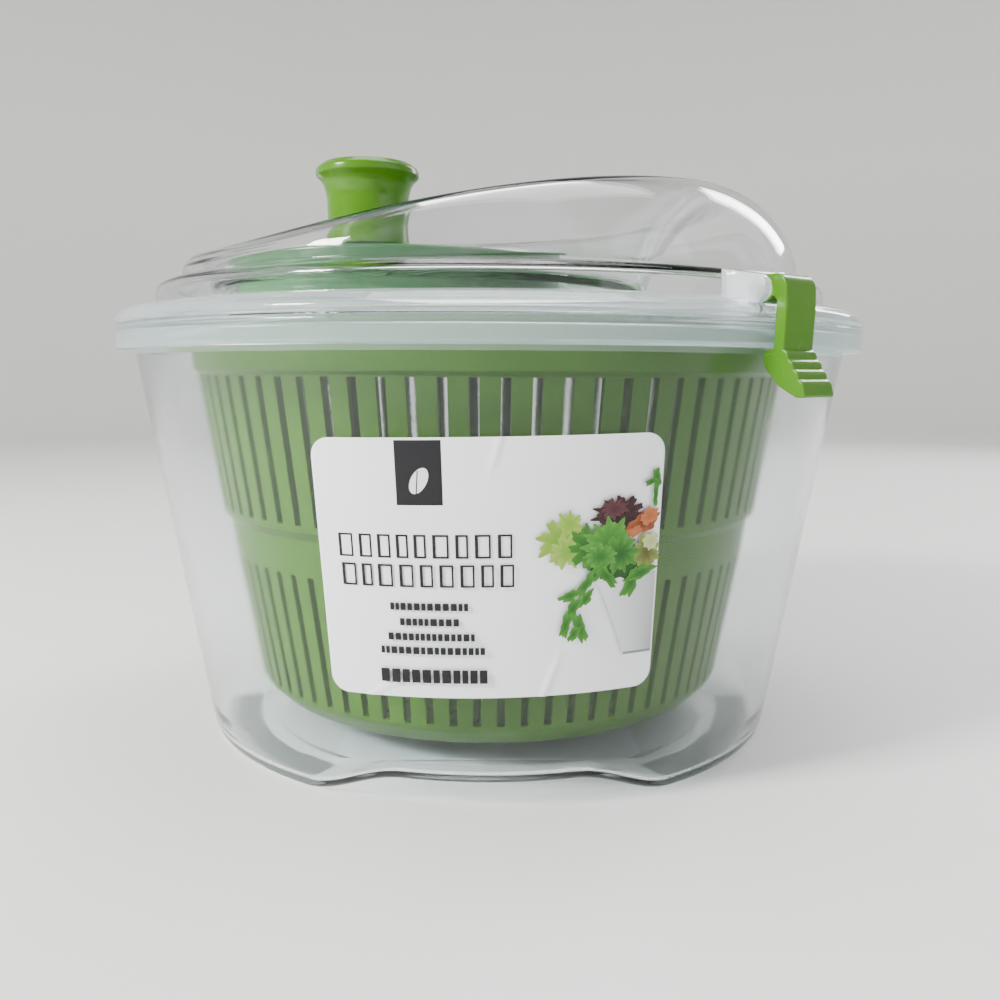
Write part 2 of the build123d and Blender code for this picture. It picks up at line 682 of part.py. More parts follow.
for side_name, latch_azimuth in LATCHES.items():
    keep(make_latch(latch_azimuth), f"latch_{side_name}")
    keep(make_latch_pin(latch_azimuth), f"latch_pin_{side_name}")
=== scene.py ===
# %% [markdown]
# # A salad spinner in clear and green plastic
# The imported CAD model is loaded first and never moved. It gives every place, size and joint. The visible
# shells are then built again as smooth surfaces, and each one rides on the CAD body it stands for.
# All lengths below are written in millimetres and multiplied by MM, because Blender works in metres.

# %% Load the frame
import json
import math

import bmesh
import bpy
import numpy as np
from mathutils import Euler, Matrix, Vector


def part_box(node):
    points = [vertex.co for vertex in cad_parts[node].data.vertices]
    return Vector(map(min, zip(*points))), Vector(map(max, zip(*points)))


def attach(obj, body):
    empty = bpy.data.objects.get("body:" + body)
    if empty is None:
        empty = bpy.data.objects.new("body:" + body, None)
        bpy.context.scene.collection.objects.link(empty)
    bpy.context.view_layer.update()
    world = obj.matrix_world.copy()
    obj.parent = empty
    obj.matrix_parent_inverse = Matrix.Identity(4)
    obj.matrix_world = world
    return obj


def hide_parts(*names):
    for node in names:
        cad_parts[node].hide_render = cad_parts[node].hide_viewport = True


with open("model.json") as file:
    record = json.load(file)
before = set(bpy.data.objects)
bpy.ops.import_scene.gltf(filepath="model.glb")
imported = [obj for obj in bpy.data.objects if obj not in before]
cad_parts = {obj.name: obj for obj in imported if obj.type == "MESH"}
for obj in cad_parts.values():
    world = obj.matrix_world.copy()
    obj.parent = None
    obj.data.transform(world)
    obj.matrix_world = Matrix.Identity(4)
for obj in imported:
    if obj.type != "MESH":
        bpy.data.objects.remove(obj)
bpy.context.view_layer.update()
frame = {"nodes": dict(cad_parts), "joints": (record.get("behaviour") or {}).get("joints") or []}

NODES = frame["nodes"]
JOINTS = {j["name"]: j for j in frame["joints"]}
MM = 0.001

# %% [markdown]
# ## Places taken from the frame
# The crank wheel's axis, the knob's axis and the two latch hinges come from the joints. The rim's radius and
# height come from the bowl's own box.

# %% Axes and heights
WHEEL_X, WHEEL_Y = (c / MM for c in JOINTS["crank_spin"]["pos_m"][:2])
KNOB_X, KNOB_Y = (c / MM for c in JOINTS["knob_spin"]["pos_m"][:2])
HINGES = {side: JOINTS[f"latch_{side}_open"]["pos_m"] for side in ("right", "left")}
BOWL_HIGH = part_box("bowl")[1]
RIM_R = BOWL_HIGH.x / MM
RIM_TOP = BOWL_HIGH.z / MM
HUMP_TURN = math.atan2(-WHEEL_Y, -WHEEL_X)
print(f"rim {RIM_R:.1f} mm, rim top {RIM_TOP:.1f} mm, hump towards {math.degrees(HUMP_TURN):.1f} degrees")

# %% [markdown]
# ## Turning arrays into meshes
# Every surface here is a grid: rows run along a profile, columns run round the axis. `grid_faces` turns such
# an array of points into quads, and `add_piece` puts them into the scene. Wrapping the last column onto the
# first closes the seam. A row whose points all coincide is a pole, and `weld` merges its points.

# %% Grid helpers
def add_piece(name, points, faces, materials, body, smooth=True, face_material=None):
    """Put a mesh made of arrays into the scene and let it ride on a CAD body."""
    mesh = bpy.data.meshes.new(name)
    mesh.from_pydata(points.reshape(-1, 3).tolist(), [], [f.tolist() for f in faces])
    for material in materials:
        mesh.materials.append(material)
    if face_material is not None:
        mesh.polygons.foreach_set("material_index", np.asarray(face_material, dtype=np.int32))
    mesh.polygons.foreach_set("use_smooth", np.full(len(mesh.polygons), smooth))
    mesh.update()
    piece = bpy.data.objects.new(name, mesh)
    bpy.context.scene.collection.objects.link(piece)
    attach(piece, body)
    return piece


def grid_faces(rows, columns, wrap_columns=True, wrap_rows=False):
    """Quads between neighbouring grid points: (i, j), (i, j+1), (i+1, j+1), (i+1, j)."""
    i = np.arange(rows if wrap_rows else rows - 1)
    j = np.arange(columns if wrap_columns else columns - 1)
    i, j = np.meshgrid(i, j, indexing="ij")
    down, right = (i + 1) % rows, (j + 1) % columns
    corners = [i * columns + j, i * columns + right, down * columns + right, down * columns + j]
    return np.stack(corners, axis=-1).reshape(-1, 4)


def weld(piece, distance=0.01 * MM):
    """Merge coinciding points, drop the collapsed faces, and point every face outwards."""
    edit = bmesh.new()
    edit.from_mesh(piece.data)
    bmesh.ops.remove_doubles(edit, verts=edit.verts, dist=distance)
    bmesh.ops.dissolve_degenerate(edit, edges=edit.edges, dist=distance / 10)
    bmesh.ops.recalc_face_normals(edit, faces=edit.faces)
    edit.to_mesh(piece.data)
    edit.free()
    return piece


def around(columns):
    """Angles of the grid's columns: even steps round a full turn."""
    return np.linspace(0, 2 * np.pi, columns, endpoint=False)


def rounded(corners, radii, steps=6):
    """Round a polyline: each corner becomes an arc of its radius, tangent to both sides."""
    corners = np.asarray(corners, float)
    path = [corners[0]]
    for k in range(1, len(corners) - 1):
        before, here, after = corners[k - 1], corners[k], corners[k + 1]
        a, b = before - here, after - here
        la, lb = np.linalg.norm(a), np.linalg.norm(b)
        a, b = a / la, b / lb
        turn = np.arccos(np.clip(a @ b, -1, 1))
        reach = min(radii[k] / np.tan(turn / 2), 0.49 * la, 0.49 * lb) if turn < np.pi - 1e-3 else 0
        if reach <= 0:
            path.append(here)
            continue
        radius = reach * np.tan(turn / 2)
        middle = (a + b) / np.linalg.norm(a + b)
        centre = here + middle * radius / np.sin(turn / 2)
        start, end = here + a * reach - centre, here + b * reach - centre
        t = np.linspace(0, 1, steps)[:, None]
        sweep = np.pi - turn
        arc = (np.sin((1 - t) * sweep) * start + np.sin(t * sweep) * end) / np.sin(sweep)
        path.extend(centre + arc)
    path.append(corners[-1])
    return np.array(path)


def refine(profile, longest):
    """Add points along a profile, so that no step is longer than the given length."""
    pieces = []
    for a, b in zip(profile[:-1], profile[1:]):
        count = max(1, int(np.ceil(np.linalg.norm(b - a) / longest)))
        pieces.append(a + (b - a) * np.linspace(0, 1, count, endpoint=False)[:, None])
    return np.vstack(pieces + [profile[-1:]])


def turned(profile, columns, centre=(0, 0)):
    """Turn a (radius, height) profile round a vertical axis: x = cx + r cos a, y = cy + r sin a, z = h."""
    angle = around(columns)
    r, z = profile[:, 0:1], profile[:, 1:2]
    x, y = centre[0] + r * np.cos(angle), centre[1] + r * np.sin(angle)
    return np.stack([x, y, z + 0 * angle], axis=-1) * MM


def lathe(name, corners, radii, materials, body, columns=128, centre=(0, 0), closed=False):
    """A turned piece from a rounded outline; a closed outline makes a ring, an open one ends on the axis."""
    outline = rounded(corners, radii)
    grid = turned(outline, columns, centre)
    faces = grid_faces(len(outline), columns, wrap_rows=closed)
    return weld(add_piece(name, grid, faces, materials, body))


def modifier(piece, kind, name, **settings):
    """Add a modifier with its settings."""
    made = piece.modifiers.new(name, kind)
    for key, value in settings.items():
        setattr(made, key, value)
    return made


print("a closed grid of 3 rows and 8 columns has", len(grid_faces(3, 8)), "quads")

# %% [markdown]
# ## Finishes shared by several materials
# Moulded plastic is never quite even: its gloss drifts, its skin has a fine grain and it picks up hairline
# scratches in use. Two node groups make these once. `moulded_skin` gives a roughness and a normal, and
# `hairlines` gives a mask of thin curved scratches. Each material places them with its own values.

# %% Node groups
def new_group(name, inputs, outputs):
    """Start a shader node group with named inputs and outputs."""
    group = bpy.data.node_groups.new(name, "ShaderNodeTree")
    for label, kind, value in inputs:
        socket = group.interface.new_socket(name=label, in_out="INPUT", socket_type=kind)
        socket.default_value = value
    for label, kind in outputs:
        group.interface.new_socket(name=label, in_out="OUTPUT", socket_type=kind)
    return group, group.nodes.new("NodeGroupInput"), group.nodes.new("NodeGroupOutput")


def ramp_between(tree, source, low, high, to_low, to_high):
    """Map Range node: source from low..high goes to to_low..to_high, clamped."""
    node = tree.nodes.new("ShaderNodeMapRange")
    node.inputs["From Min"].default_value = low
    node.inputs["From Max"].default_value = high
    for key, value in (("To Min", to_low), ("To Max", to_high)):
        if isinstance(value, (int, float)):
            node.inputs[key].default_value = value
        else:
            tree.links.new(value, node.inputs[key])
    tree.links.new(source, node.inputs["Value"])
    return node.outputs["Result"]


def noise(tree, coordinates, scale, detail=2.0, distortion=0.0):
    """Noise texture on the given coordinates; the scale is a number or a socket."""
    node = tree.nodes.new("ShaderNodeTexNoise")
    node.inputs["Detail"].default_value = detail
    node.inputs["Distortion"].default_value = distortion
    if isinstance(scale, (int, float)):
        node.inputs["Scale"].default_value = scale
    else:
        tree.links.new(scale, node.inputs["Scale"])
    tree.links.new(coordinates, node.inputs["Vector"])
    return node.outputs["Fac"]


def make_moulded_skin():
    """Roughness drifts between two values in broad patches; the normal carries a fine moulded grain."""
    group, given, out = new_group(
        "moulded_skin",
        [("Smoothest", "NodeSocketFloat", 0.2), ("Roughest", "NodeSocketFloat", 0.35),
         ("Grain Scale", "NodeSocketFloat", 900.0), ("Grain Strength", "NodeSocketFloat", 0.05)],
        [("Roughness", "NodeSocketFloat"), ("Normal", "NodeSocketVector")])
    place = group.nodes.new("ShaderNodeTexCoord").outputs["Object"]
    patches = noise(group, place, 22.0, 3.0, 0.6)
    roughness = ramp_between(group, patches, 0.3, 0.7, given.outputs["Smoothest"], given.outputs["Roughest"])
    grain = noise(group, place, given.outputs["Grain Scale"], 2.0)
    waves = noise(group, place, 45.0, 1.0)
    both = group.nodes.new("ShaderNodeMath")
    both.operation = "MULTIPLY_ADD"
    both.inputs[1].default_value = 2.0
    group.links.new(waves, both.inputs[0])
    group.links.new(grain, both.inputs[2])
    bump = group.nodes.new("ShaderNodeBump")
    bump.inputs["Distance"].default_value = 0.2 * MM
    group.links.new(given.outputs["Grain Strength"], bump.inputs["Strength"])
    group.links.new(both.outputs[0], bump.inputs["Height"])
    group.links.new(roughness, out.inputs["Roughness"])
    group.links.new(bump.outputs["Normal"], out.inputs["Normal"])
    return group


def make_hairlines():
    """Thin curved scratches: the narrow band where a stretched noise passes through one half."""
    group, given, out = new_group(
        "hairlines",
        [("Scale", "NodeSocketFloat", 30.0), ("Width", "NodeSocketFloat", 0.004)],
        [("Mask", "NodeSocketFloat")])
    place = group.nodes.new("ShaderNodeTexCoord").outputs["Object"]
    stretch = group.nodes.new("ShaderNodeMapping")
    stretch.inputs["Rotation"].default_value = (0.5, 0.9, 0.3)
    stretch.inputs["Scale"].default_value = (1.0, 6.0, 2.0)
    group.links.new(place, stretch.inputs["Vector"])
    field = noise(group, stretch.outputs["Vector"], given.outputs["Scale"], 1.0, 0.3)
    gap = group.nodes.new("ShaderNodeMath")
    gap.operation = "COMPARE"
    gap.inputs[1].default_value = 0.5
    group.links.new(field, gap.inputs[0])
    group.links.new(given.outputs["Width"], gap.inputs[2])
    breaks = ramp_between(group, noise(group, place, 60.0, 1.0), 0.52, 0.6, 0.0, 1.0)
    mask = group.nodes.new("ShaderNodeMath")
    mask.operation = "MULTIPLY"
    group.links.new(gap.outputs[0], mask.inputs[0])
    group.links.new(breaks, mask.inputs[1])
    group.links.new(mask.outputs[0], out.inputs["Mask"])
    return group


SKIN = make_moulded_skin()
HAIRLINES = make_hairlines()
print("node groups:", SKIN.name, HAIRLINES.name)


# %% Material helpers
def place_group(tree, group, **values):
    """Put a node group into a material and set its inputs; underscores stand for spaces."""
    node = tree.nodes.new("ShaderNodeGroup")
    node.node_tree = group
    for key, value in values.items():
        node.inputs[key.replace("_", " ")].default_value = value
    return node


def new_material(name, colour, **sockets):
    """A Principled material with plain values set on its own sockets; returns it with its shader."""
    material = bpy.data.materials.new(name)
    material.use_nodes = True
    shader = material.node_tree.nodes["Principled BSDF"]
    shader.inputs["Base Color"].default_value = (*colour, 1.0)
    for key, value in sockets.items():
        shader.inputs[key.replace("_", " ")].default_value = value
    return material, shader


def add_skin(material, shader, smoothest, roughest, grain=0.05, scratch=0.12, grain_scale=900.0,
             scratch_scale=30.0):
    """Drive a shader's roughness and normal from the skin and hairline groups."""
    tree = material.node_tree
    skin = place_group(tree, SKIN, Smoothest=smoothest, Roughest=roughest, Grain_Scale=grain_scale,
                       Grain_Strength=grain)
    lines = place_group(tree, HAIRLINES, Scale=scratch_scale)
    total = tree.nodes.new("ShaderNodeMath")
    total.operation = "MULTIPLY_ADD"
    total.inputs[1].default_value = scratch
    tree.links.new(lines.outputs["Mask"], total.inputs[0])
    tree.links.new(skin.outputs["Roughness"], total.inputs[2])
    tree.links.new(total.outputs[0], shader.inputs["Roughness"])
    tree.links.new(skin.outputs["Normal"], shader.inputs["Normal"])


def add_drift(material, shader, colour_a, colour_b, scale=18.0):
    """Let the base colour wander between two close colours in soft patches."""
    tree = material.node_tree
    place = tree.nodes.new("ShaderNodeTexCoord").outputs["Object"]
    mix = tree.nodes.new("ShaderNodeMix")
    mix.data_type = "RGBA"
    mix.inputs["A"].default_value = (*colour_a, 1.0)
    mix.inputs["B"].default_value = (*colour_b, 1.0)
    patches = ramp_between(tree, noise(tree, place, scale, 3.0), 0.3, 0.7, 0.0, 1.0)
    tree.links.new(patches, mix.inputs["Factor"])
    tree.links.new(mix.outputs["Result"], shader.inputs["Base Color"])


def let_lamps_through(material, shader, tint):
    """Clear plastic: rays from lamps pass straight through, tinted a little, so what is inside is lit."""
    tree = material.node_tree
    clear = tree.nodes.new("ShaderNodeBsdfTransparent")
    clear.inputs["Color"].default_value = (*tint, 1.0)
    path = tree.nodes.new("ShaderNodeLightPath")
    mix = tree.nodes.new("ShaderNodeMixShader")
    tree.links.new(path.outputs["Is Shadow Ray"], mix.inputs[0])
    tree.links.new(shader.outputs[0], mix.inputs[1])
    tree.links.new(clear.outputs[0], mix.inputs[2])
    tree.links.new(mix.outputs[0], tree.nodes["Material Output"].inputs["Surface"])


def clear_plastic(name, colour, transmission, ior, skin, tint):
    """A clear or milky plastic: `skin` is smoothest, roughest, grain and scratch, `tint` is for lamp rays."""
    material, shader = new_material(name, colour, Transmission_Weight=transmission, IOR=ior)
    add_skin(material, shader, *skin)
    let_lamps_through(material, shader, tint)
    return material


def solid(name, colour, skin, other_colour=None, patch_scale=18.0, **sockets):
    """A solid material, whose colour drifts towards a second one if there is one."""
    material, shader = new_material(name, colour, **sockets)
    add_skin(material, shader, *skin)
    if other_colour is not None:
        add_drift(material, shader, colour, other_colour, patch_scale)
    return material


print("materials are made by", clear_plastic.__name__, "and", solid.__name__)

# %% [markdown]
# ## The materials
# The bowl is natural polypropylene, and its rim is thicker and milkier, so its Transmission Weight is lower.
# The rest of the light is scattered as a soft white. The lid is polished and fully clear, with a milky edge.
# The greens are solid plastic, glossier and brighter on the knob and the latches than on the basket.

# %% Clear plastics
BOWL_CLEAR = clear_plastic("bowl_clear", (0.92, 0.95, 0.95), 0.995, 1.28, (0.05, 0.10, 0.03, 0.10),
                           (0.70, 0.73, 0.73))
RIM_MILKY = clear_plastic("rim_milky", (0.78, 0.88, 0.88), 0.88, 1.38, (0.09, 0.17, 0.04, 0.04),
                          (0.62, 0.66, 0.66))
LID_CLEAR = clear_plastic("lid_clear", (0.95, 0.96, 0.96), 1.0, 1.36, (0.02, 0.05, 0.015, 0.10),
                          (0.92, 0.93, 0.93))
LUG_MILKY = clear_plastic("lug_milky", (0.88, 0.90, 0.93), 0.7, 1.46, (0.06, 0.14, 0.03, 0.10),
                          (0.82, 0.84, 0.86))
EDGE_MILKY = clear_plastic("edge_milky", (0.84, 0.89, 0.91), 0.86, 1.36, (0.04, 0.09, 0.03, 0.04),
                           (0.66, 0.70, 0.71))
print("clear plastics:", [m.name for m in (BOWL_CLEAR, RIM_MILKY, LID_CLEAR, LUG_MILKY, EDGE_MILKY)])

# %% Solid plastics, steel and paper
BASKET_GREEN = solid("basket_green", (0.036, 0.110, 0.003), (0.30, 0.44, 0.08), (0.050, 0.134, 0.006),
                     IOR=1.48, Specular_IOR_Level=0.2)
LIME = solid("lime_gloss", (0.048, 0.162, 0.002), (0.16, 0.27, 0.04, 0.18), (0.062, 0.186, 0.004), 30.0,
             IOR=1.48, Specular_IOR_Level=0.35)
NATURAL = solid("natural_white", (0.80, 0.80, 0.77), (0.35, 0.5, 0.08), Subsurface_Weight=0.1,
                Subsurface_Scale=0.002)
# The crank wheel is moulded in the knob's green. Its colour here is painted darker, as shade for its place
# under the lid, and the drive plate shares it.
WHEEL_GREEN_PAINTED_SHADE = solid("wheel_green_painted_shade", (0.034, 0.122, 0.045), (0.24, 0.38, 0.06, 0.15), (0.05, 0.146, 0.055),
                    IOR=1.48, Specular_IOR_Level=0.35)
STEEL = solid("stainless", (0.56, 0.57, 0.58), (0.22, 0.38, 0.10, 0.25, 1500.0, 70.0), Metallic=1.0)
PAPER = solid("label_paper", (0.86, 0.87, 0.92), (0.38, 0.5, 0.05, 0.10, 1600.0), (0.90, 0.91, 0.94), 25.0,
              Coat_Weight=0.1, Coat_Roughness=0.25)
PRINT = solid("label_print", (0.5, 0.5, 0.5), (0.36, 0.48, 0.04, 0.10, 1600.0), Specular_IOR_Level=0.25,
              Coat_Weight=0.05)
ink_node = PRINT.node_tree.nodes.new("ShaderNodeAttribute")
ink_node.attribute_name = "ink"
PRINT.node_tree.links.new(ink_node.outputs["Color"],
                          PRINT.node_tree.nodes["Principled BSDF"].inputs["Base Color"])
STUDIO = solid("studio_paper", (0.80, 0.80, 0.79), (0.6, 0.7, 0.02, 0.12, 200.0))
print("materials:", [m.name for m in bpy.data.materials])

# %% [markdown]
# ## Thin rounded slabs
# Latches, hinge lugs and ribs are flat outlines with some thickness and softened edges. `soft_slab` stacks
# copies of an outline across the thickness. The first and last few copies are drawn in along a quarter
# circle, which is the softened edge, and a flat face closes each side.

# %% Slab helpers
def soft_slab(outline, half, edge, steps=4):
    """Rings of an outline across a thickness, as (rows, points, 3) of outline u, outline v and offset w.

    Each ring is the outline moved inwards by edge * (1 - cos a) at offset half - edge * (1 - sin a), while
    a runs over a quarter turn, once for each side. The outline runs anticlockwise.
    """
    along = np.roll(outline, -1, axis=0) - np.roll(outline, 1, axis=0)
    outward = np.stack([along[:, 1], -along[:, 0]], axis=1)
    outward /= np.linalg.norm(outward, axis=1, keepdims=True)
    a = np.linspace(0, np.pi / 2, steps)
    inset = edge * (1 - np.cos(a))
    offset = half - edge * (1 - np.sin(a))
    inset = np.concatenate([inset[::-1], inset])[:, None, None]
    offset = np.concatenate([-offset[::-1], offset])
    rings = outline[None] - inset * outward[None]
    return np.dstack([rings, np.broadcast_to(offset[:, None], rings.shape[:2])])


def slab_faces(rows, columns):
    """Quads round the edge of a slab and one flat face on each side."""
    last = np.arange(columns) + (rows - 1) * columns
    return list(grid_faces(rows, columns)) + [np.arange(columns)[::-1], last]


def upright(points, azimuth):
    """Stand (radius, height, sideways) points on a vertical plane through the main axis."""
    r, z, w = points[..., 0], points[..., 1], points[..., 2]
    c, s = np.cos(azimuth), np.sin(azimuth)
    return np.stack([r * c - w * s, r * s + w * c, z], axis=-1) * MM


def even_shading(piece):
    """Weight the smooth shading by face area, so that large faces stay flat beside small rounded edges."""
    modifier(piece, "WEIGHTED_NORMAL", "even_shading", keep_sharp=True, weight=80)
    return piece


print("a square slab has", len(soft_slab(np.array([(0.0, 0.0), (1, 0), (1, 1), (0, 1)]), 1.0, 0.1)), "rings")

# %% [markdown]
# ## The bowl
# The bowl is a tapered tub whose floor is lifted a little off the table. Its outer ring stands on three feet
# with a low arch between each two. The section changes round the bowl, so two sections are drawn, one through
# a foot and one through the middle of an arch, with the same corners in the same order. Every point of the
# wall is then a blend of the two, by its angle.

# %% Bowl shell
BOWL_COLUMNS = 384
FEET = 3
ARCH_FLAT = math.radians(14)       # half angle over which an arch keeps its full height
ARCH_RAMP = math.radians(19)       # angle over which it comes down to the foot
SKIRT_BOTTOM = RIM_TOP - 7.2
RIM_FROM_R, RIM_FROM_Z = 118.0, 124.0   # outside and above these the profile is the milky rim

FOOT_FLOOR = [(0, 1), (79, 1), (83, 0), (98.3, 0), (100.0, 9)]
FOOT_INSIDE = [(98.3, 11), (96.3, 2), (83, 2), (79, 3), (9, 3), (9, 7.4), (0, 7.4)]
ARCH_FLOOR = [(0, 1), (79, 1), (85, 3.6), (99.3, 9.0), (100.5, 12)]
ARCH_INSIDE = [(98.6, 14), (97.2, 11), (84, 5), (79, 3), (9, 3), (9, 7.4), (0, 7.4)]
RIM = [(120.1, RIM_TOP - 2), (RIM_R - 2, RIM_TOP - 2), (RIM_R - 2, SKIRT_BOTTOM), (RIM_R, SKIRT_BOTTOM),
       (RIM_R, RIM_TOP), (118.4, RIM_TOP)]
BOWL_RADII = [0, 2, 2, 3.5, 2, 1, 1, 0.8, 0.8, 1.3, 1.5, 2, 3.5, 2, 2, 0.5, 0.8, 0]


def arch_share(angle):
    """How far a column belongs to an arch: 1 in its middle, 0 over a foot, smoothstep between."""
    sector = 2 * np.pi / FEET
    from_middle = np.abs((angle + np.pi / 2 + sector / 2) % sector - sector / 2)
    t = np.clip((from_middle - ARCH_FLAT) / ARCH_RAMP, 0, 1)
    return 1 - t * t * (3 - 2 * t)


def split_like(profile, pattern, longest):
    """Divide each side of a profile into as many steps as the same side of the pattern needs."""
    counts = np.ceil(np.linalg.norm(np.diff(pattern, axis=0), axis=1) / longest).astype(int).clip(1)
    parts = [a + (b - a) * np.linspace(0, 1, n, endpoint=False)[:, None]
             for a, b, n in zip(profile[:-1], profile[1:], counts)]
    return np.vstack(parts + [profile[-1:]])


foot_line = rounded(FOOT_FLOOR + RIM + FOOT_INSIDE, BOWL_RADII)
arch_line = rounded(ARCH_FLOOR + RIM + ARCH_INSIDE, BOWL_RADII)
foot_line, arch_line = split_like(foot_line, foot_line, 6.0), split_like(arch_line, foot_line, 6.0)
angle = around(BOWL_COLUMNS)
share = arch_share(angle)[None, :]
radius = foot_line[:, :1] * (1 - share) + arch_line[:, :1] * share
height = foot_line[:, 1:] * (1 - share) + arch_line[:, 1:] * share
grid = np.stack([radius * np.cos(angle), radius * np.sin(angle), height], axis=-1) * MM
rim_rows = (foot_line[:-1, 0] > RIM_FROM_R) & (foot_line[:-1, 1] > RIM_FROM_Z)
bowl_shell = add_piece("bowl_shell", grid, grid_faces(len(foot_line), BOWL_COLUMNS), [BOWL_CLEAR, RIM_MILKY],
                       "bowl", face_material=np.repeat(rim_rows, BOWL_COLUMNS))
even_shading(weld(bowl_shell))
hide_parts("bowl")
print(f"bowl_shell: {len(foot_line)} rows x {BOWL_COLUMNS} columns, {len(bowl_shell.data.polygons)} faces")

# %% [markdown]
# ## The lid
# The lid is one clear moulding: a beaded edge on the bowl's rim, a short wall, a shoulder, and a dome that
# rises to a hump at one side and has a deep well for the crank wheel sunk into it. It is drawn as rings that
# shrink from the shoulder to the well's floor while their centre slides over to the well. Their height is the
# lower of three surfaces, the dome, the rolled top and the well's wall. A smooth minimum rounds the creases
# where they meet, as a mould would. The Solidify modifier then gives the sheet its wall.

# %% Lid surface
LID_COLUMNS = 288
LID_WALL = 2.0
LID_SIDE_R = 112.5
SHOULDER_R, SHOULDER_Z = 104.4, 147.0
DOME_CENTRE_R, DOME_CENTRE_Z, DOME_ARC = 70.7, 146.0, 33.8
ROLL_TOP, ROLL_CREST, ROLL_DROP, ROLL_REACH = 179.6, 35.0, 19.5, 120.0
WELL_SHIFT, WELL_R, WELL_FLOOR = 25.0, 70.0, 147.0
WELL_RISE, WELL_SPREAD = 35.0, 13.0
POCKET_R, POCKET_FLOOR = 54.0, 138.0
WELL_X, WELL_Y = -WELL_SHIFT * math.cos(HUMP_TURN), -WELL_SHIFT * math.sin(HUMP_TURN)


def smooth_min(a, b, k):
    """Lower of two heights with a rounded crease: b + (a - b) h - k h (1 - h), h = 1/2 + (b - a) / 2k."""
    h = np.clip(0.5 + 0.5 * (b - a) / k, 0, 1)
    return b + (a - b) * h - k * h * (1 - h)


def lid_height(x, y):
    """Height of the lid's skin above a point: the smooth minimum of the dome, the rolled top and the well."""
    r = np.hypot(x, y)
    dome = DOME_CENTRE_Z + np.sqrt(np.maximum(DOME_ARC ** 2 - np.maximum(r - DOME_CENTRE_R, 0) ** 2, 0))
    along = x * math.cos(HUMP_TURN) + y * math.sin(HUMP_TURN)
    roll = ROLL_TOP - ROLL_DROP * ((along - ROLL_CREST) / ROLL_REACH) ** 2
    from_well = np.hypot(x - WELL_X, y - WELL_Y)
    well = WELL_FLOOR + WELL_RISE * (1 - np.exp(-np.maximum(from_well - WELL_R, 0) / WELL_SPREAD))
    fade = np.clip((dome - SHOULDER_Z) / 8, 0.02, 1)
    return smooth_min(smooth_min(dome, roll, 8.0 * fade), well, 3.0 * fade)


edge_line = rounded(
    [(RIM_R, RIM_TOP + 0.3), (RIM_R, 136.0), (121.5, 138.6), (115.8, 139.0), (LID_SIDE_R, 139.0),
     (LID_SIDE_R, SHOULDER_Z), (SHOULDER_R + 1.5, SHOULDER_Z + 0.2), (SHOULDER_R, SHOULDER_Z + 1.6)],
    [0, 2.0, 2.6, 1.0, 0.9, 3.6, 1.0, 0])
angle = around(LID_COLUMNS)[None, :]
edge_r, edge_z = edge_line[:, :1] + 0 * angle, edge_line[:, 1:] + 0 * angle
edge_rings = np.stack([edge_r * np.cos(angle), edge_r * np.sin(angle), edge_z], axis=-1)

swing = np.radians(np.linspace(4.0, 90, 25)[1:])
share = (SHOULDER_R - DOME_CENTRE_R - DOME_ARC * np.cos(swing)) / (SHOULDER_R - 45.0)
share = np.concatenate([share, np.linspace(share[-1], 1, 40)[1:]])[:, None]
ring_r = (1 - share) * SHOULDER_R + share * WELL_R
ring_x, ring_y = share * WELL_X + ring_r * np.cos(angle), share * WELL_Y + ring_r * np.sin(angle)
dome_rings = np.stack([ring_x, ring_y, lid_height(ring_x, ring_y)], axis=-1)

share = np.linspace(0, 1, 6)[1:-1, None]
ring_r = (1 - share) * WELL_R + share * (POCKET_R + 2)
ring_x = (1 - share) * WELL_X + share * WHEEL_X + ring_r * np.cos(angle)
ring_y = (1 - share) * WELL_Y + share * WHEEL_Y + ring_r * np.sin(angle)
floor_rings = np.stack([ring_x, ring_y, WELL_FLOOR + 0 * ring_x], axis=-1)

pocket_line = refine(rounded(
    [(POCKET_R + 2, WELL_FLOOR), (POCKET_R, WELL_FLOOR), (POCKET_R, POCKET_FLOOR), (6.5, POCKET_FLOOR),
     (5.0, 151.0), (0, 151.0)], [0, 1.2, 1.5, 1.0, 0.5, 0]), 6.0)
pocket_rings = turned(pocket_line, LID_COLUMNS, (WHEEL_X, WHEEL_Y)) / MM
lid_rings = np.concatenate([edge_rings, dome_rings, floor_rings, pocket_rings])
print("lid rings:", len(lid_rings), "highest point", round(float(lid_rings[..., 2].max()), 2), "mm")

# %% [markdown]
# The bead is cut down beside each latch, so that the latch's barrel has room. The pocket's floor has a hole
# on the bowl's axis for the pinion's bush.

# %% Lid shell
NOTCH_HALF, NOTCH_R, NOTCH_Z = 6.8, 117.6, 136.9
BUSH_HOLE_R = 7.6
AZIMUTHS = {side: math.atan2(place[1], place[0]) for side, place in HINGES.items()}
for azimuth in AZIMUTHS.values():
    out = lid_rings[..., 0] * math.cos(azimuth) + lid_rings[..., 1] * math.sin(azimuth)
    side = -lid_rings[..., 0] * math.sin(azimuth) + lid_rings[..., 1] * math.cos(azimuth)
    notch = (out > NOTCH_R) & (np.abs(side) < NOTCH_HALF)
    lid_rings[..., 2] = np.where(notch, np.minimum(lid_rings[..., 2], NOTCH_Z), lid_rings[..., 2])
faces = grid_faces(len(lid_rings), LID_COLUMNS)
middles = lid_rings.reshape(-1, 3)[faces].mean(axis=1)
on_floor = middles[:, 2] < POCKET_FLOOR + 0.5
outside_hole = np.hypot(middles[:, 0], middles[:, 1]) > BUSH_HOLE_R
faces = faces[outside_hole | ~on_floor]
first_side_row = np.argmax(edge_line[:, 0] < LID_SIDE_R + 0.1)
on_edge = faces.min(axis=1) < (first_side_row + 1) * LID_COLUMNS
lid_shell = add_piece("lid_shell", lid_rings * MM, faces, [LID_CLEAR, EDGE_MILKY], "lid",
                      face_material=on_edge)
weld(lid_shell)
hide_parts("lid")


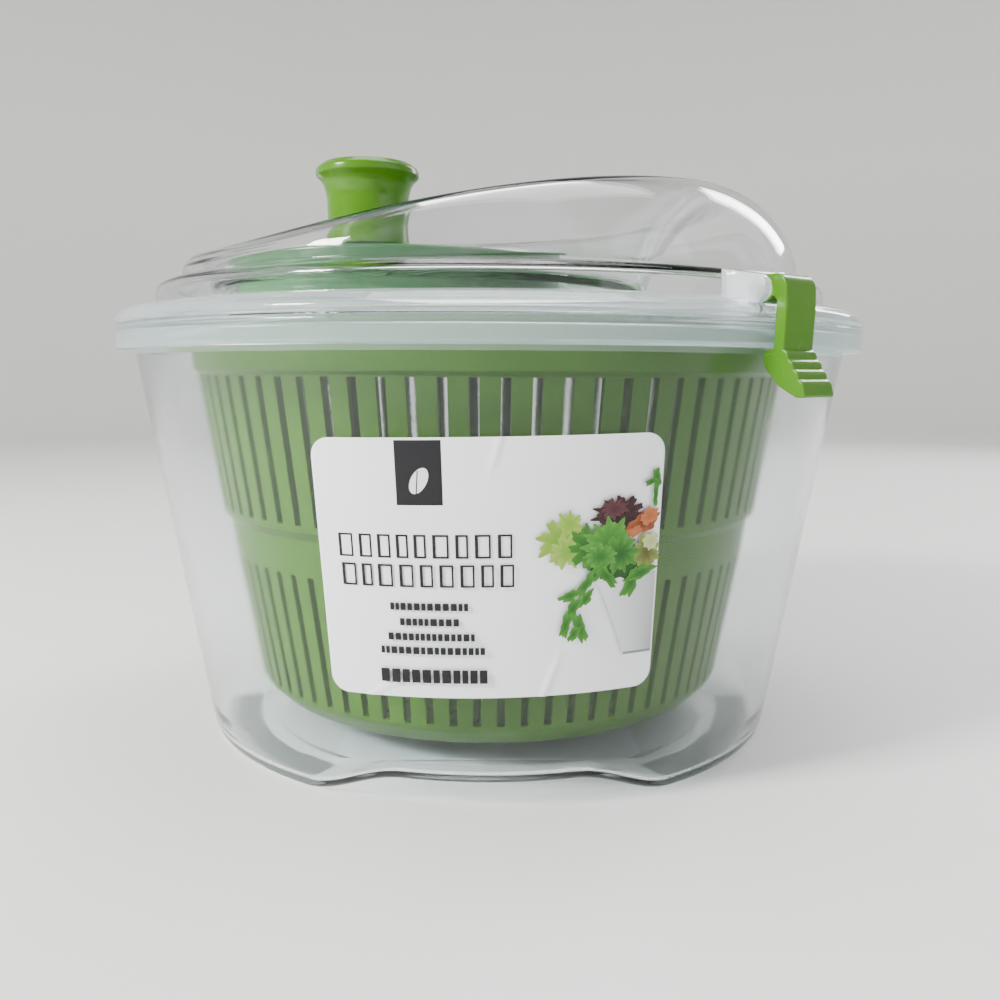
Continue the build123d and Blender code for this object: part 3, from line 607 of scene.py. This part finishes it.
def point_up(piece):
    """Turn a sheet over if most of its faces look down."""
    normals = np.zeros(len(piece.data.polygons) * 3)
    piece.data.polygons.foreach_get("normal", normals)
    if normals[2::3].sum() < 0:
        piece.data.flip_normals()


point_up(lid_shell)
modifier(lid_shell, "SOLIDIFY", "wall", thickness=LID_WALL * MM, offset=-1, use_even_offset=True)
even_shading(lid_shell)
print("lid_shell:", len(lid_shell.data.polygons), "faces before its wall")

# %% Lid rings and hinge lugs
LIP_LINE = [(114.6, 134.0), (114.6, 127.5), (116.4, 127.5), (116.4, 134.0)]
lathe("lid_lip", LIP_LINE, [0, 0.5, 0.5, 0], [LID_CLEAR], "lid", 192, closed=True)
BOSS_LINE = [(6.55, 133.7), (9.5, 133.7), (9.5, 137.6), (6.55, 137.6)]
lathe("bush_boss", BOSS_LINE, [0, 0.4, 0.4, 0], [LID_CLEAR], "lid", 64, closed=True)
BARREL_R, HINGE_R, HINGE_Z = 3.6, 122.0, 141.0
LUG_HALF = 1.5


def arc(centre, radius, start, end, count):
    """Points of a circular arc, angles in degrees."""
    turn = np.radians(np.linspace(start, end, count))
    return np.stack([centre[0] + radius * np.cos(turn), centre[1] + radius * np.sin(turn)], axis=1)


lug_line = np.vstack([[(111.6, 136.8), (121.0, 136.8)], arc((HINGE_R, HINGE_Z), BARREL_R, -70, 90, 14),
                      [(111.6, 146.6)]])
lug_line = refine(np.vstack([lug_line, lug_line[:1]]), 1.5)[:-1]
for side_name, azimuth in AZIMUTHS.items():
    for end, way in (("a", -1), ("b", 1)):
        rings = soft_slab(lug_line, LUG_HALF, 0.4)
        rings[..., 2] += way * (NOTCH_HALF - 0.2 + LUG_HALF)
        lug = add_piece(f"hinge_lug_{side_name}_{end}", upright(rings, azimuth), slab_faces(*rings.shape[:2]),
                        [LUG_MILKY], "lid")
        weld(lug, 0.001 * MM)

# %% [markdown]
# ## The basket
# The basket is a thin green shell with two tiers of upright slots and a solid band with a small ledge between
# them. Its sheet is a grid whose columns fall on the slots' sides, and whose rows fall on their ends. The
# slots are simply the quads that are left out. Solidify gives the wall, and Bevel softens each slot's edge.

# %% Basket shell
SLOTS = 76
SLOT_SHARES = np.array([0, 0.16, 0.335, 0.665, 0.84])
BASKET_WALL = 2.0
BASKET_LINE = [(0, 11.0), (76, 11.0), (82, 17), (89.6, 60.3), (91.2, 71.5), (93.4, 74.0), (100.3, 119.0),
               (101.6, 120.0), (102.5, 131.0)]
BASKET_RADII = [0, 3, 5, 1.5, 1.2, 1.0, 1.0, 1.0, 0]
LOWER_SLOT, UPPER_SLOT = (18.5, 60.0), (76.0, 118.5)
FLOOR_SLOTS = ((52, 72, 2), (25, 45, 4))       # from radius, to radius, every so many sectors


def with_rows_at(profile, axis, values):
    """Put exact rows into a profile where the given coordinate passes each of the values."""
    for value in values:
        k = int(np.nonzero((profile[:-1, axis] - value) * (profile[1:, axis] - value) < 0)[0][-1])
        t = (value - profile[k, axis]) / (profile[k + 1, axis] - profile[k, axis])
        profile = np.insert(profile, k + 1, profile[k] + t * (profile[k + 1] - profile[k]), axis=0)
    return profile


line = rounded(BASKET_LINE, BASKET_RADII, 5)
line = with_rows_at(line, 1, [*LOWER_SLOT, *UPPER_SLOT])
line = with_rows_at(line, 0, [r for inner, outer, _ in FLOOR_SLOTS for r in (inner, outer)])
line = refine(line, 14.0)
sector = 2 * np.pi / SLOTS
angle = ((np.arange(SLOTS)[:, None] + SLOT_SHARES[None, :]) * sector).ravel()
grid = np.stack([line[:, :1] * np.cos(angle), line[:, :1] * np.sin(angle), line[:, 1:] + 0 * angle], axis=-1)
middle = (line[1:] + line[:-1]) / 2
row, column = np.meshgrid(np.arange(len(line) - 1), np.arange(len(angle)), indexing="ij")
r, z = middle[row, 0], middle[row, 1]
in_slot = column % len(SLOT_SHARES) == 2
wall_slot = ((z > LOWER_SLOT[0]) & (z < LOWER_SLOT[1])) | ((z > UPPER_SLOT[0]) & (z < UPPER_SLOT[1]))
is_open = wall_slot.copy()
for inner, outer, every in FLOOR_SLOTS:
    is_open |= (z < 12) & (r > inner) & (r < outer) & ((column // len(SLOT_SHARES)) % every == 0)
faces = grid_faces(len(line), len(angle))[~(in_slot & is_open).ravel()]
basket_shell = add_piece("basket_shell", grid * MM, faces, [BASKET_GREEN], "basket")
weld(basket_shell)
top_face = max(basket_shell.data.polygons, key=lambda f: f.center.z)
if top_face.normal.x * top_face.center.x + top_face.normal.y * top_face.center.y < 0:
    basket_shell.data.flip_normals()
modifier(basket_shell, "SOLIDIFY", "wall", thickness=BASKET_WALL * MM, offset=-1, use_even_offset=True)
modifier(basket_shell, "BEVEL", "soft_edges", width=0.3 * MM, segments=1, limit_method="ANGLE",
         angle_limit=math.radians(50), harden_normals=True)
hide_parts("basket")
lathe("basket_hub", [(0, 13.0), (2.6, 13.0), (2.6, 8.6), (8, 8.6), (8, 16), (0, 16)],
      [0, 0, 0, 0.5, 0.8, 0], [BASKET_GREEN], "basket", 64)
print("basket_shell:", len(basket_shell.data.polygons), "faces before its wall")

# %% Rim ribs of the basket
RIM_RIBS = 6
rib_line = rounded([(97.6, 122.5), (101.0, 122.5), (101.0, 130.5), (97.6, 130.5), (97.6, 122.5)],
                   [0, 0, 0, 0.8, 0])[:-1]
rib_line = refine(np.vstack([rib_line, rib_line[:1]]), 1.5)[:-1]
for k in range(RIM_RIBS):
    rings = soft_slab(rib_line, 1.5, 0.3, 3)
    rib = add_piece(f"basket_rib_{k + 1}", upright(rings, 2 * np.pi * k / RIM_RIBS),
                    slab_faces(*rings.shape[:2]), [BASKET_GREEN], "basket")
    weld(rib, 0.001 * MM)
print("ribs:", RIM_RIBS)

# %% [markdown]
# ## The crank wheel
# Under the disc a drum hangs into the lid's pocket, and the drum's inside is a ring gear of 64 teeth that
# turns the small pinion. Disc, drum and hub are one turned outline. The teeth are a band whose inner radius
# steps in and out with the angle.

# %% Crank wheel, ring gear and caps
WHEEL_CENTRE = (WHEEL_X, WHEEL_Y)
WHEEL_LINE = [(5.05, 139.2), (9, 139.2), (9, 149), (14, 149), (14, 152.5), (49.8, 152.5), (49.8, 139),
              (52.5, 139), (52.5, 149.8), (54.5, 149.8), (54.5, 155), (51.6, 155), (51.2, 154.5),
              (16.0, 154.5), (15.5, 155), (12.1, 155), (12.1, 151), (5.05, 151)]
WHEEL_RADII = [0, 0.4, 0.5, 0.8, 0.5, 0.8, 0.3, 0.4, 0.5, 0.4, 1.3, 0.4, 0.3, 0.3, 0.4, 0.5, 0.3, 0]
wheel_shell = lathe("wheel_shell", WHEEL_LINE, WHEEL_RADII, [WHEEL_GREEN_PAINTED_SHADE], "crank_wheel",
                    192, WHEEL_CENTRE, closed=True)
even_shading(wheel_shell)
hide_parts("crank_wheel")

RING_TEETH = 64
TOOTH_STEPS = np.radians([-2.8125, -2.08, -0.785, 0.785, 2.08])
TOOTH_RADII = np.array([50.0, 50.0, 46.8, 46.8, 50.0])
pitch = 2 * np.pi / RING_TEETH
angle = (HUMP_TURN + (np.arange(RING_TEETH)[:, None] + 0.5) * pitch + TOOTH_STEPS).ravel()
inner = np.tile(TOOTH_RADII, RING_TEETH)
radius = np.stack([inner, inner, np.full_like(inner, 50.6), np.full_like(inner, 50.6)])
height = np.array([139.8, 148.6, 148.6, 139.8])[:, None]
tooth_x, tooth_y = WHEEL_X + radius * np.cos(angle), WHEEL_Y + radius * np.sin(angle)
grid = np.stack([tooth_x, tooth_y, height + 0 * radius], axis=-1)
ring_gear = add_piece("ring_gear", grid * MM, grid_faces(4, len(angle), wrap_rows=True), [WHEEL_GREEN_PAINTED_SHADE],
                      "crank_wheel", smooth=False)
weld(ring_gear, 0.001 * MM)
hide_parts("crank_wheel")

hub_cap = lathe("hub_cap", [(0, 154.0), (11.9, 154.0), (11.9, 155.5), (9.0, 156.2), (0, 156.4)],
                [0, 0.2, 0.8, 3.0, 0], [WHEEL_GREEN_PAINTED_SHADE], "crank_wheel", 96, WHEEL_CENTRE)
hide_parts("wheel_cap")
print("crank wheel:", wheel_shell.name, ring_gear.name, hub_cap.name)

# %% [markdown]
# ## The knob
# The knob is a waisted sleeve that flares into a rounded cap, with a plug pressed into its top. It is turned
# about its own axis and rides on its own body, so it stays loose on its post.

# %% Knob
KNOB_CENTRE = (KNOB_X, KNOB_Y)
KNOB_LINE = [(3.6, 155.4), (11.9, 155.4), (11.4, 161.0), (11.6, 169.0), (12.6, 172.6), (14.6, 174.6),
             (14.5, 176.3), (12.6, 177.8), (11.5, 177.7), (11.05, 173.0), (7.5, 173.0),
             (7.5, 168.0), (3.6, 168.0)]
KNOB_RADII = [0, 0.5, 30, 10, 5.0, 0.6, 1.4, 0.8, 0.3, 0, 0, 0, 0]
knob_sleeve = lathe("knob_sleeve", KNOB_LINE, KNOB_RADII, [LIME], "knob", 128, KNOB_CENTRE,
                    closed=True)
even_shading(knob_sleeve)
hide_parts("knob")
knob_plug = lathe("knob_plug", [(0, 174.0), (10.95, 174.0), (10.95, 176.6), (8.5, 177.0), (0, 177.2)],
                  [0, 0.2, 0.5, 4.0, 0], [LIME], "knob", 96, KNOB_CENTRE)
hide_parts("knob_cap")
print("knob:", knob_sleeve.name, knob_plug.name)

# %% [markdown]
# ## The latches
# Each latch is a strap that hooks over a hinge pin, runs down outside the rim, catches under the bowl's skirt
# and ends in a ribbed finger tab. It is one outline, drawn in the upright plane through the latch, and made
# into a slab. The ribs are low waves along the tab's outer face.

# %% Latch outline
LATCH_HALF = 6.2
KNEE, TIP = np.array((129.2, 125.8)), np.array((135.6, 115.9))
RIB_HEIGHT, RIB_HALF = 0.45, 1.45
RIB_PLACES = np.array([0.12, 0.37, 0.62, 0.87])


def ribbed_side(tip, knee, count=90):
    """Points from tip to knee, raised by height * cos(pi/2 * gap / half), where gap is to the nearest rib."""
    share = np.linspace(0, 1, count)
    length = np.linalg.norm(knee - tip)
    along = (knee - tip) / length
    raised = np.array([-along[1], along[0]]) * -1
    gap = np.abs(share[:, None] - (1 - RIB_PLACES)[None, :]).min(axis=1) * length
    rise = RIB_HEIGHT * np.cos(np.pi / 2 * np.minimum(gap / RIB_HALF, 1))
    return tip + share[:, None] * (knee - tip) + rise[:, None] * raised


strap_top = rounded([KNEE, (129.7, 136.0), (129.2, 144.6), (122.0, 144.6)], [0, 30, 4.2, 0], 10)
barrel = arc((HINGE_R, HINGE_Z), BARREL_R, 90, 330, 26)
inside_line = rounded([barrel[-1], (126.4, 138.0), (126.1, 125.9), (123.2, 125.6), (123.2, 121.8),
                       (128.0, 116.6), (133.2, 113.9), TIP + (0.7, -2.0), TIP],
                      [0, 1.0, 0.4, 0.8, 3.0, 9.0, 1.2, 1.0, 0], 6)
latch_line = np.vstack([strap_top, barrel[1:], inside_line[1:], ribbed_side(TIP, KNEE)[1:-1]])
latch_line = refine(np.vstack([latch_line, latch_line[:1]]), 1.2)[:-1]
print("latch outline:", len(latch_line), "points")

# %% Latches
for side_name, azimuth in AZIMUTHS.items():
    rings = soft_slab(latch_line, LATCH_HALF, 0.45)
    strap = add_piece(f"latch_strap_{side_name}", upright(rings, azimuth), slab_faces(*rings.shape[:2]),
                      [LIME], f"latch_{side_name}")
    weld(strap, 0.001 * MM)
    even_shading(strap)
    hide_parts(f"latch_{side_name}")
print("latches at", {side: round(math.degrees(turn), 1) for side, turn in AZIMUTHS.items()}, "degrees")

# %% [markdown]
# ## The front label
# The label is one sheet of paper wrapped on the tapered wall. Places on it are given as millimetres to the
# right of its middle along the arc and millimetres above its middle. A few shallow creases run across it,
# where paper couldn't follow the curve. The print lies on the same surface, a hair higher.

# %% Label surface
LABEL_ARC_HALF, LABEL_HEIGHT, LABEL_CORNER = 45.0, 69.5, 5.0
LABEL_LOW, LABEL_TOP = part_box("front_label")
LABEL_MID_Z = (LABEL_LOW.z + LABEL_TOP.z) / 2 / MM
WALL_R, WALL_SLOPE = 98.8, 0.1646         # the bowl's outer radius at 2 mm, and how it grows with height
PAPER_GAP, PAPER_THICK = 0.07, 0.22
MID_RADIUS = WALL_R + WALL_SLOPE * (LABEL_MID_Z - 2)
CONE_SHARE = 0.65                         # 1 would wrap the paper like a flat sheet, 0 like a slice of cake
LABEL_SHIFT, LABEL_TURN = 0.85, math.radians(1.1)   # it was stuck on a little high and a little askew
CREASES = [((3, 34), (0, 24), 0.34, 0.8), ((-32, -34), (-14, -24), 0.36, 0.9),
           ((14, -34), (19, -21), 0.38, 0.8)]   # start, end, height and width of each


def crease_height(u, v):
    """Sum of ridges: height * exp(-(distance to the crease's line / width)^2), fading at both ends."""
    total = np.zeros(np.broadcast(u, v).shape)
    for start, end, rise, width in CREASES:
        start, end = np.array(start, float), np.array(end, float)
        length = np.linalg.norm(end - start)
        along = (end - start) / length
        t = (u - start[0]) * along[0] + (v - start[1]) * along[1]
        off = -(u - start[0]) * along[1] + (v - start[1]) * along[0]
        fade = np.clip((length - t) / (0.5 * length), 0, 1) * np.clip((t + 3) / 2, 0, 1)
        total += rise * np.exp(-(off / width) ** 2) * fade
    return total


def on_label(u, v, lift):
    """Place label points on the tapered wall, askew by a small turn.

    The radius follows the wall's taper. The angle is arc length over radius, with the radius partly the
    label's middle one and partly the local one.
    """
    z = LABEL_MID_Z + LABEL_SHIFT + v + u * math.sin(LABEL_TURN)
    wall = WALL_R + WALL_SLOPE * (z - 2)
    radius = wall + lift + crease_height(u, v)
    turn = (u - v * math.sin(LABEL_TURN)) / (CONE_SHARE * wall + (1 - CONE_SHARE) * MID_RADIUS)
    return np.stack([radius * np.sin(turn), -radius * np.cos(turn), z + 0 * u], axis=-1) * MM


def label_half_width(v):
    """Half width of the label at a height, drawn in by quarter circles at its corners."""
    into = np.clip(np.abs(v) - (LABEL_HEIGHT / 2 - LABEL_CORNER), 0, LABEL_CORNER)
    return LABEL_ARC_HALF - LABEL_CORNER + np.sqrt(LABEL_CORNER ** 2 - into ** 2)


straight = np.linspace(-LABEL_HEIGHT / 2 + LABEL_CORNER, LABEL_HEIGHT / 2 - LABEL_CORNER, 80)
corner = LABEL_CORNER * np.sin(np.radians(np.linspace(0, 90, 12)[1:]))
LABEL_COLUMNS = 140
rows = np.concatenate([straight[0] - corner[::-1], straight, straight[-1] + corner])
v = np.broadcast_to(rows[:, None], (len(rows), LABEL_COLUMNS))
u = np.linspace(-1, 1, LABEL_COLUMNS)[None, :] * label_half_width(rows)[:, None]
paper = add_piece("label_paper", on_label(u, v, PAPER_GAP + PAPER_THICK),
                  grid_faces(len(rows), LABEL_COLUMNS, wrap_columns=False), [PAPER], "bowl")
if paper.data.polygons[0].normal.y > 0:
    paper.data.flip_normals()
modifier(paper, "SOLIDIFY", "paper", thickness=0.2 * MM, offset=-1)
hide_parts("front_label")
print("label_paper:", len(paper.data.polygons), "faces, middle at", round(LABEL_MID_Z, 1), "mm")

# %% [markdown]
# ## The print on the label
# The print is generic: a dark block with a plain leaf, rows of frames and blocks that stand for lines of
# type, and a picture of a white pot of salad. Each shape is a little grid in label coordinates with an ink
# colour at every point. All of them go into one thin piece, each shape INK_STEP above the last.

# %% Print helpers
INK_STEP = 0.006
DEEPEN = 1.25                             # power that darkens the leaves' inks and makes them stronger
print_points, print_inks, print_faces = [], [], []
dice = np.random.default_rng(11)


def lay_ink(u, v, ink, wrap=False):
    """Add one grid of label points, with an ink colour for each, on top of what is printed already."""
    rows, columns = u.shape
    start = sum(len(p) for p in print_points)
    lift = PAPER_GAP + PAPER_THICK + 0.02 + INK_STEP * len(print_points)
    print_faces.append(grid_faces(rows, columns, wrap_columns=wrap) + start)
    print_points.append(on_label(u, v, lift).reshape(-1, 3))
    print_inks.append(np.broadcast_to(ink, (rows, columns, 3)).reshape(-1, 3))


def lay_block(left, top, right, bottom, ink, lean=0.0):
    """A rectangle in millimetres from the label's top left corner; lean moves its foot sideways."""
    s = np.linspace(0, 1, max(2, int(abs(right - left) / 1.5) + 2))[None, :]
    t = np.linspace(0, 1, max(2, int(abs(bottom - top) / 1.5) + 2))[:, None]
    u = left + (right - left) * s + lean * t - LABEL_ARC_HALF
    v = LABEL_HEIGHT / 2 - (top + (bottom - top) * t)
    lay_ink(u + 0 * t, v + 0 * s, ink)


def lay_line(left, top, right, bottom, blocks, ink, gap=0.28):
    """A line of type as a row of blocks of uneven width with small gaps."""
    widths = dice.uniform(0.75, 1.25, blocks)
    ends = left + (right - left) * np.cumsum(widths) / widths.sum()
    for end, width in zip(ends, widths / widths.sum() * (right - left)):
        lay_block(end - width * (1 - gap / 2), top, end - width * gap / 2, bottom, ink)


def lay_frames(left, top, right, bottom, frames, ink, stroke=0.5, gap=0.32):
    """A line of large type as a row of thin empty frames, four strokes each."""
    widths = dice.uniform(0.8, 1.2, frames)
    ends = left + (right - left) * np.cumsum(widths) / widths.sum()
    for end, width in zip(ends, widths / widths.sum() * (right - left)):
        a, b = end - width * (1 - gap / 2), end - width * gap / 2
        lay_block(a, top, a + 1.6 * stroke, bottom, ink)
        lay_block(b - stroke, top, b, bottom, ink)
        lay_block(a, top, b, top + stroke, ink)
        lay_block(a, bottom - stroke, b, bottom, ink)


def lay_leaf(x, y, width, height, heart, edge, frills=9, depth=0.12, turn=0.0, spokes=96, rings=9):
    """A ruffled leaf: an ellipse whose outline waves as 1 + depth * (three sines), darker at the heart.

    The ink runs from the heart's colour to the edge's with the distance, and light veins follow the waves.
    """
    a = np.linspace(0, 2 * np.pi, spokes, endpoint=False)[None, :]
    t = np.linspace(0, 1, rings)[:, None]
    p = dice.uniform(0, 2 * np.pi, 3)
    wave = np.sin(frills * a + p[0]) + 0.6 * np.sin((2 * frills + 1) * a + p[1]) + 0.4 * np.sin(3 * a + p[2])
    reach = t * (1 + depth * wave * t)
    cx, cy = reach * np.cos(a) * width, reach * np.sin(a) * height
    u = x + cx * math.cos(turn) - cy * math.sin(turn) - LABEL_ARC_HALF
    v = LABEL_HEIGHT / 2 - y + cx * math.sin(turn) + cy * math.cos(turn)
    vein = 0.5 + 0.5 * np.sin(frills * a + p[0] + 2.5 * t)
    speckle = dice.uniform(-0.12, 0.12, (rings, spokes))
    mix = np.clip(t ** 1.3 * (0.65 + 0.35 * vein) + speckle, 0, 1)[..., None]
    lay_ink(u, v, (np.array(heart) * (1 - mix) + np.array(edge) * mix) ** DEEPEN, wrap=True)


print("each printed shape lies", INK_STEP, "mm above the last")


# %% Type blocks and leaf mark
BLACK = (0.010, 0.010, 0.012)
WHITE = (0.80, 0.81, 0.84)
lay_block(22.3, 0.6, 33.9, 17.0, BLACK)
lay_leaf(28.1, 10.8, 2.0, 3.6, WHITE, WHITE, frills=2, depth=0.0, turn=-0.5, spokes=48)
lay_block(27.75, 8.2, 28.05, 14.8, BLACK, lean=-0.6)
lay_frames(4.9, 24.6, 51.6, 30.8, 9, BLACK)
lay_frames(5.4, 32.5, 52.0, 38.5, 9, BLACK)
for left, top, right, bottom, blocks in ((18.9, 42.8, 39.6, 44.8, 12), (21.3, 47.0, 37.2, 49.0, 9),
                                         (17.9, 51.1, 41.1, 53.1, 14), (15.8, 54.9, 43.7, 56.9, 16)):
    lay_line(left, top, right, bottom, blocks, BLACK, 0.25)
lay_line(15.2, 61.2, 44.3, 65.0, 11, BLACK, 0.22)
print("type blocks:", len(print_points))

# %% Picture of a bowl of salad
LIME_LEAF, GREEN_LEAF, DEEP_LEAF = (0.36, 0.50, 0.09), (0.10, 0.30, 0.045), (0.03, 0.13, 0.025)
RED_LEAF, RED_DEEP = (0.10, 0.035, 0.045), (0.025, 0.012, 0.016)
TOAST, TOAST_DEEP = (0.44, 0.16, 0.06), (0.20, 0.055, 0.02)
rim_v, foot_v = 36.5, 58.8
t = np.linspace(0, 1, 24)[:, None]
s = np.linspace(0, 1, 24)[None, :]
left_edge = 71.0 + 9.5 * t ** 0.8
u = left_edge + (89.0 - left_edge) * s - LABEL_ARC_HALF
v = LABEL_HEIGHT / 2 - (rim_v + (foot_v - rim_v) * t) + 0 * s
shade = (0.78 - 0.30 * s ** 1.5 - 0.10 * t)[..., None]
lay_ink(u, v, shade * np.array([0.95, 0.97, 1.0]))
lay_block(80.6, 58.5, 89.0, 59.2, (0.22, 0.22, 0.24))
LEAVES = [           # x, y, width, height, heart's ink, edge's ink, frills, depth, turn
    (79.5, 34.5, 8.5, 3.2, DEEP_LEAF, (0.05, 0.10, 0.03), 7),
    (78.0, 20.6, 6.3, 4.4, RED_DEEP, RED_LEAF, 11, 0.16),
    (76.5, 19.0, 3.2, 2.4, RED_LEAF, (0.17, 0.075, 0.08), 9, 0.2),
    (81.0, 22.6, 3.0, 2.6, RED_DEEP, RED_LEAF, 9, 0.2),
    (85.8, 31.0, 3.6, 4.6, (0.13, 0.12, 0.035), (0.33, 0.42, 0.12), 8, 0.12),
    (87.0, 28.2, 2.2, 2.2, (0.45, 0.52, 0.24), (0.62, 0.66, 0.42), 8, 0.12),
    (62.8, 26.6, 5.2, 5.4, (0.19, 0.36, 0.05), LIME_LEAF, 8, 0.20),
    (64.6, 29.6, 4.2, 4.0, (0.22, 0.40, 0.06), (0.42, 0.55, 0.15), 8, 0.20),
    (64.9, 22.4, 2.8, 3.0, (0.24, 0.42, 0.06), (0.40, 0.54, 0.12), 7, 0.20),
    (70.4, 28.6, 5.2, 5.2, DEEP_LEAF, GREEN_LEAF, 9, 0.17),
    (75.6, 27.6, 6.4, 5.4, (0.06, 0.22, 0.035), (0.15, 0.40, 0.07), 11, 0.17),
    (78.6, 31.0, 4.4, 4.6, DEEP_LEAF, (0.13, 0.36, 0.06), 9, 0.17),
    (73.0, 31.4, 4.0, 3.2, (0.04, 0.17, 0.03), (0.16, 0.42, 0.08), 9, 0.17),
    (84.4, 23.2, 4.8, 2.6, TOAST_DEEP, TOAST, 5, 0.10, 0.5),
    (86.2, 21.4, 2.6, 2.0, TOAST, (0.58, 0.25, 0.11), 5, 0.12, 0.7),
    (82.4, 25.2, 2.0, 1.3, (0.50, 0.22, 0.10), TOAST, 4, 0.15, 0.4),
]
SPRIGS = [           # x, y, width, height, turn
    (87.7, 11.6, 1.1, 2.8, 0.1), (86.2, 12.4, 1.9, 0.8, 0.3), (87.6, 16.0, 0.7, 3.2, 0.0),
    (71.6, 36.2, 4.6, 1.3, 0.75), (75.0, 36.8, 3.9, 1.4, -0.85), (69.4, 38.8, 3.6, 1.2, 1.0),
    (65.4, 41.4, 3.2, 1.2, 0.35), (69.6, 42.4, 2.8, 1.2, 0.95), (66.2, 45.0, 1.5, 3.4, -0.5),
    (64.4, 49.4, 1.3, 3.6, -0.25), (68.2, 50.4, 1.5, 4.4, 0.35), (66.6, 52.0, 1.2, 2.4, -0.6),
    (82.0, 38.8, 1.8, 4.6, -0.45), (84.4, 36.6, 4.4, 1.4, 0.35),
]
SPRIG_HEART, SPRIG_EDGE = (0.035, 0.16, 0.025), (0.13, 0.36, 0.06)
for leaf in LEAVES:
    lay_leaf(*leaf)
for x, y, width, height, turn in SPRIGS:
    lay_leaf(x, y, width, height, SPRIG_HEART, SPRIG_EDGE, 4, 0.16, turn, 48, 6)
print("printed shapes:", len(print_points))

# %% The printed piece
ink = add_piece("label_print", np.concatenate(print_points), np.concatenate(print_faces), [PRINT], "bowl")
colours = ink.data.color_attributes.new("ink", "FLOAT_COLOR", "POINT")
rgba = np.ones((len(ink.data.vertices), 4))
rgba[:, :3] = np.concatenate(print_inks)
colours.data.foreach_set("color", rgba.ravel())
bpy.context.view_layer.update()
turned_in = np.zeros(len(ink.data.polygons) * 3)
ink.data.polygons.foreach_get("normal", turned_in)
print("print faces looking out:", int((turned_in[1::3] < 0).sum()), "of", len(ink.data.polygons))
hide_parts("front_label")

# %% [markdown]
# ## The small parts of the CAD model
# Pins, screws, washers, the bush, the pinion and the drive plate keep their CAD shape. They only get a
# finish, through their own material slots.

# %% Finishes of the carried parts
CARRIED = {
    "pivot_pin": STEEL, "latch_pin_right": STEEL, "latch_pin_left": STEEL, "plate_screw": STEEL,
    "plate_washer": STEEL, "wheel_screw": STEEL, "wheel_washer": STEEL, "knob_screw": STEEL,
    "knob_washer": STEEL, "thrust_washer": NATURAL, "pinion_bush": NATURAL, "drive_pinion": NATURAL,
    "knob_post": NATURAL, "drive_plate": WHEEL_GREEN_PAINTED_SHADE, "base_label": PAPER,
}
for node_name, material in CARRIED.items():
    for slot in NODES[node_name].material_slots:
        slot.material = material
print("carried parts with a finish:", len(CARRIED), "of", len(NODES), "nodes")

# %% [markdown]
# ## The studio
# A pale floor curves up into the backdrop, so there is no horizon line behind the clear bowl. The curve is a
# profile turned round the object: flat, then a quarter circle, then straight up. Clear plastic shows only
# what it reflects and bends. So a small lamp on the left gives it crisp highlights, a lamp behind draws its
# edges, a weak one on the right opens the shadows, and one wide lamp above fills the rest.

# %% Floor and backdrop
FLOOR_REACH, BEND, WALL_TOP = 1500.0, 600.0, 2600.0
sweep = np.linspace(0, np.pi / 2, 24)
bend = np.stack([FLOOR_REACH + BEND * np.sin(sweep), BEND * (1 - np.cos(sweep))], axis=1)
studio_line = np.vstack([[(0, 0), (300, 0)], bend, [(FLOOR_REACH + BEND, WALL_TOP)]])
studio_grid = turned(studio_line, 96)
studio_mesh = bpy.data.meshes.new("studio")
studio_mesh.from_pydata(studio_grid.reshape(-1, 3).tolist(), [], grid_faces(len(studio_line), 96).tolist())
studio_mesh.polygons.foreach_set("use_smooth", np.full(len(studio_mesh.polygons), True))
studio_mesh.materials.append(STUDIO)
studio = bpy.data.objects.new("studio", studio_mesh)
bpy.context.scene.collection.objects.link(studio)
weld(studio)


def add_lamp(name, place, target, size, power, colour=(1, 1, 1)):
    """A rectangular area lamp that looks at a target point."""
    light = bpy.data.lights.new(name, "AREA")
    light.shape = "RECTANGLE"
    light.size, light.size_y = size
    light.energy = power
    light.color = colour
    lamp = bpy.data.objects.new(name, light)
    lamp.location = place
    lamp.rotation_euler = (Vector(target) - Vector(place)).to_track_quat("-Z", "Y").to_euler()
    bpy.context.scene.collection.objects.link(lamp)
    return lamp


CENTRE = (0, 0, 0.09)
add_lamp("key", (-1.0, -0.60, 0.75), CENTRE, (0.28, 0.22), 38.0, (1.0, 0.985, 0.96))
add_lamp("fill", (0.95, -0.75, 0.55), CENTRE, (0.9, 0.7), 3.0, (0.95, 0.98, 1.0))
add_lamp("rim", (0.85, 0.85, 0.75), CENTRE, (0.25, 0.6), 8.0)
add_lamp("top", (0.1, 0.15, 1.3), CENTRE, (1.1, 0.8), 12.0)
world = bpy.data.worlds.new("studio_world")
world.use_nodes = True
world.node_tree.nodes["Background"].inputs["Color"].default_value = (0.86, 0.88, 0.92, 1)
world.node_tree.nodes["Background"].inputs["Strength"].default_value = 0.31
bpy.context.scene.world = world

# %% [markdown]
# ## The camera
# It stands close in front of the label, a little below the lid's top, and looks slightly down.

# %% Camera
CAMERA_PLACE = (0.0, -0.3448, 0.120)
PITCH_DOWN, YAW_RIGHT, ROLL = math.radians(7.72), math.radians(0.62), math.radians(0.28)
lens_data = bpy.data.cameras.new("camera")
lens_data.lens = 34.16
lens_data.sensor_width = 36.0
lens_data.clip_start, lens_data.clip_end = 0.01, 20.0
camera = bpy.data.objects.new("camera", lens_data)
camera.location = CAMERA_PLACE
aim = Euler((math.pi / 2 - PITCH_DOWN, 0, -YAW_RIGHT)).to_matrix() @ Euler((0, 0, ROLL)).to_matrix()
camera.rotation_euler = aim.to_euler()
bpy.context.scene.collection.objects.link(camera)
bpy.context.scene.camera = camera
print("camera", CAMERA_PLACE, "with a lens of", round(lens_data.lens, 2), "mm")
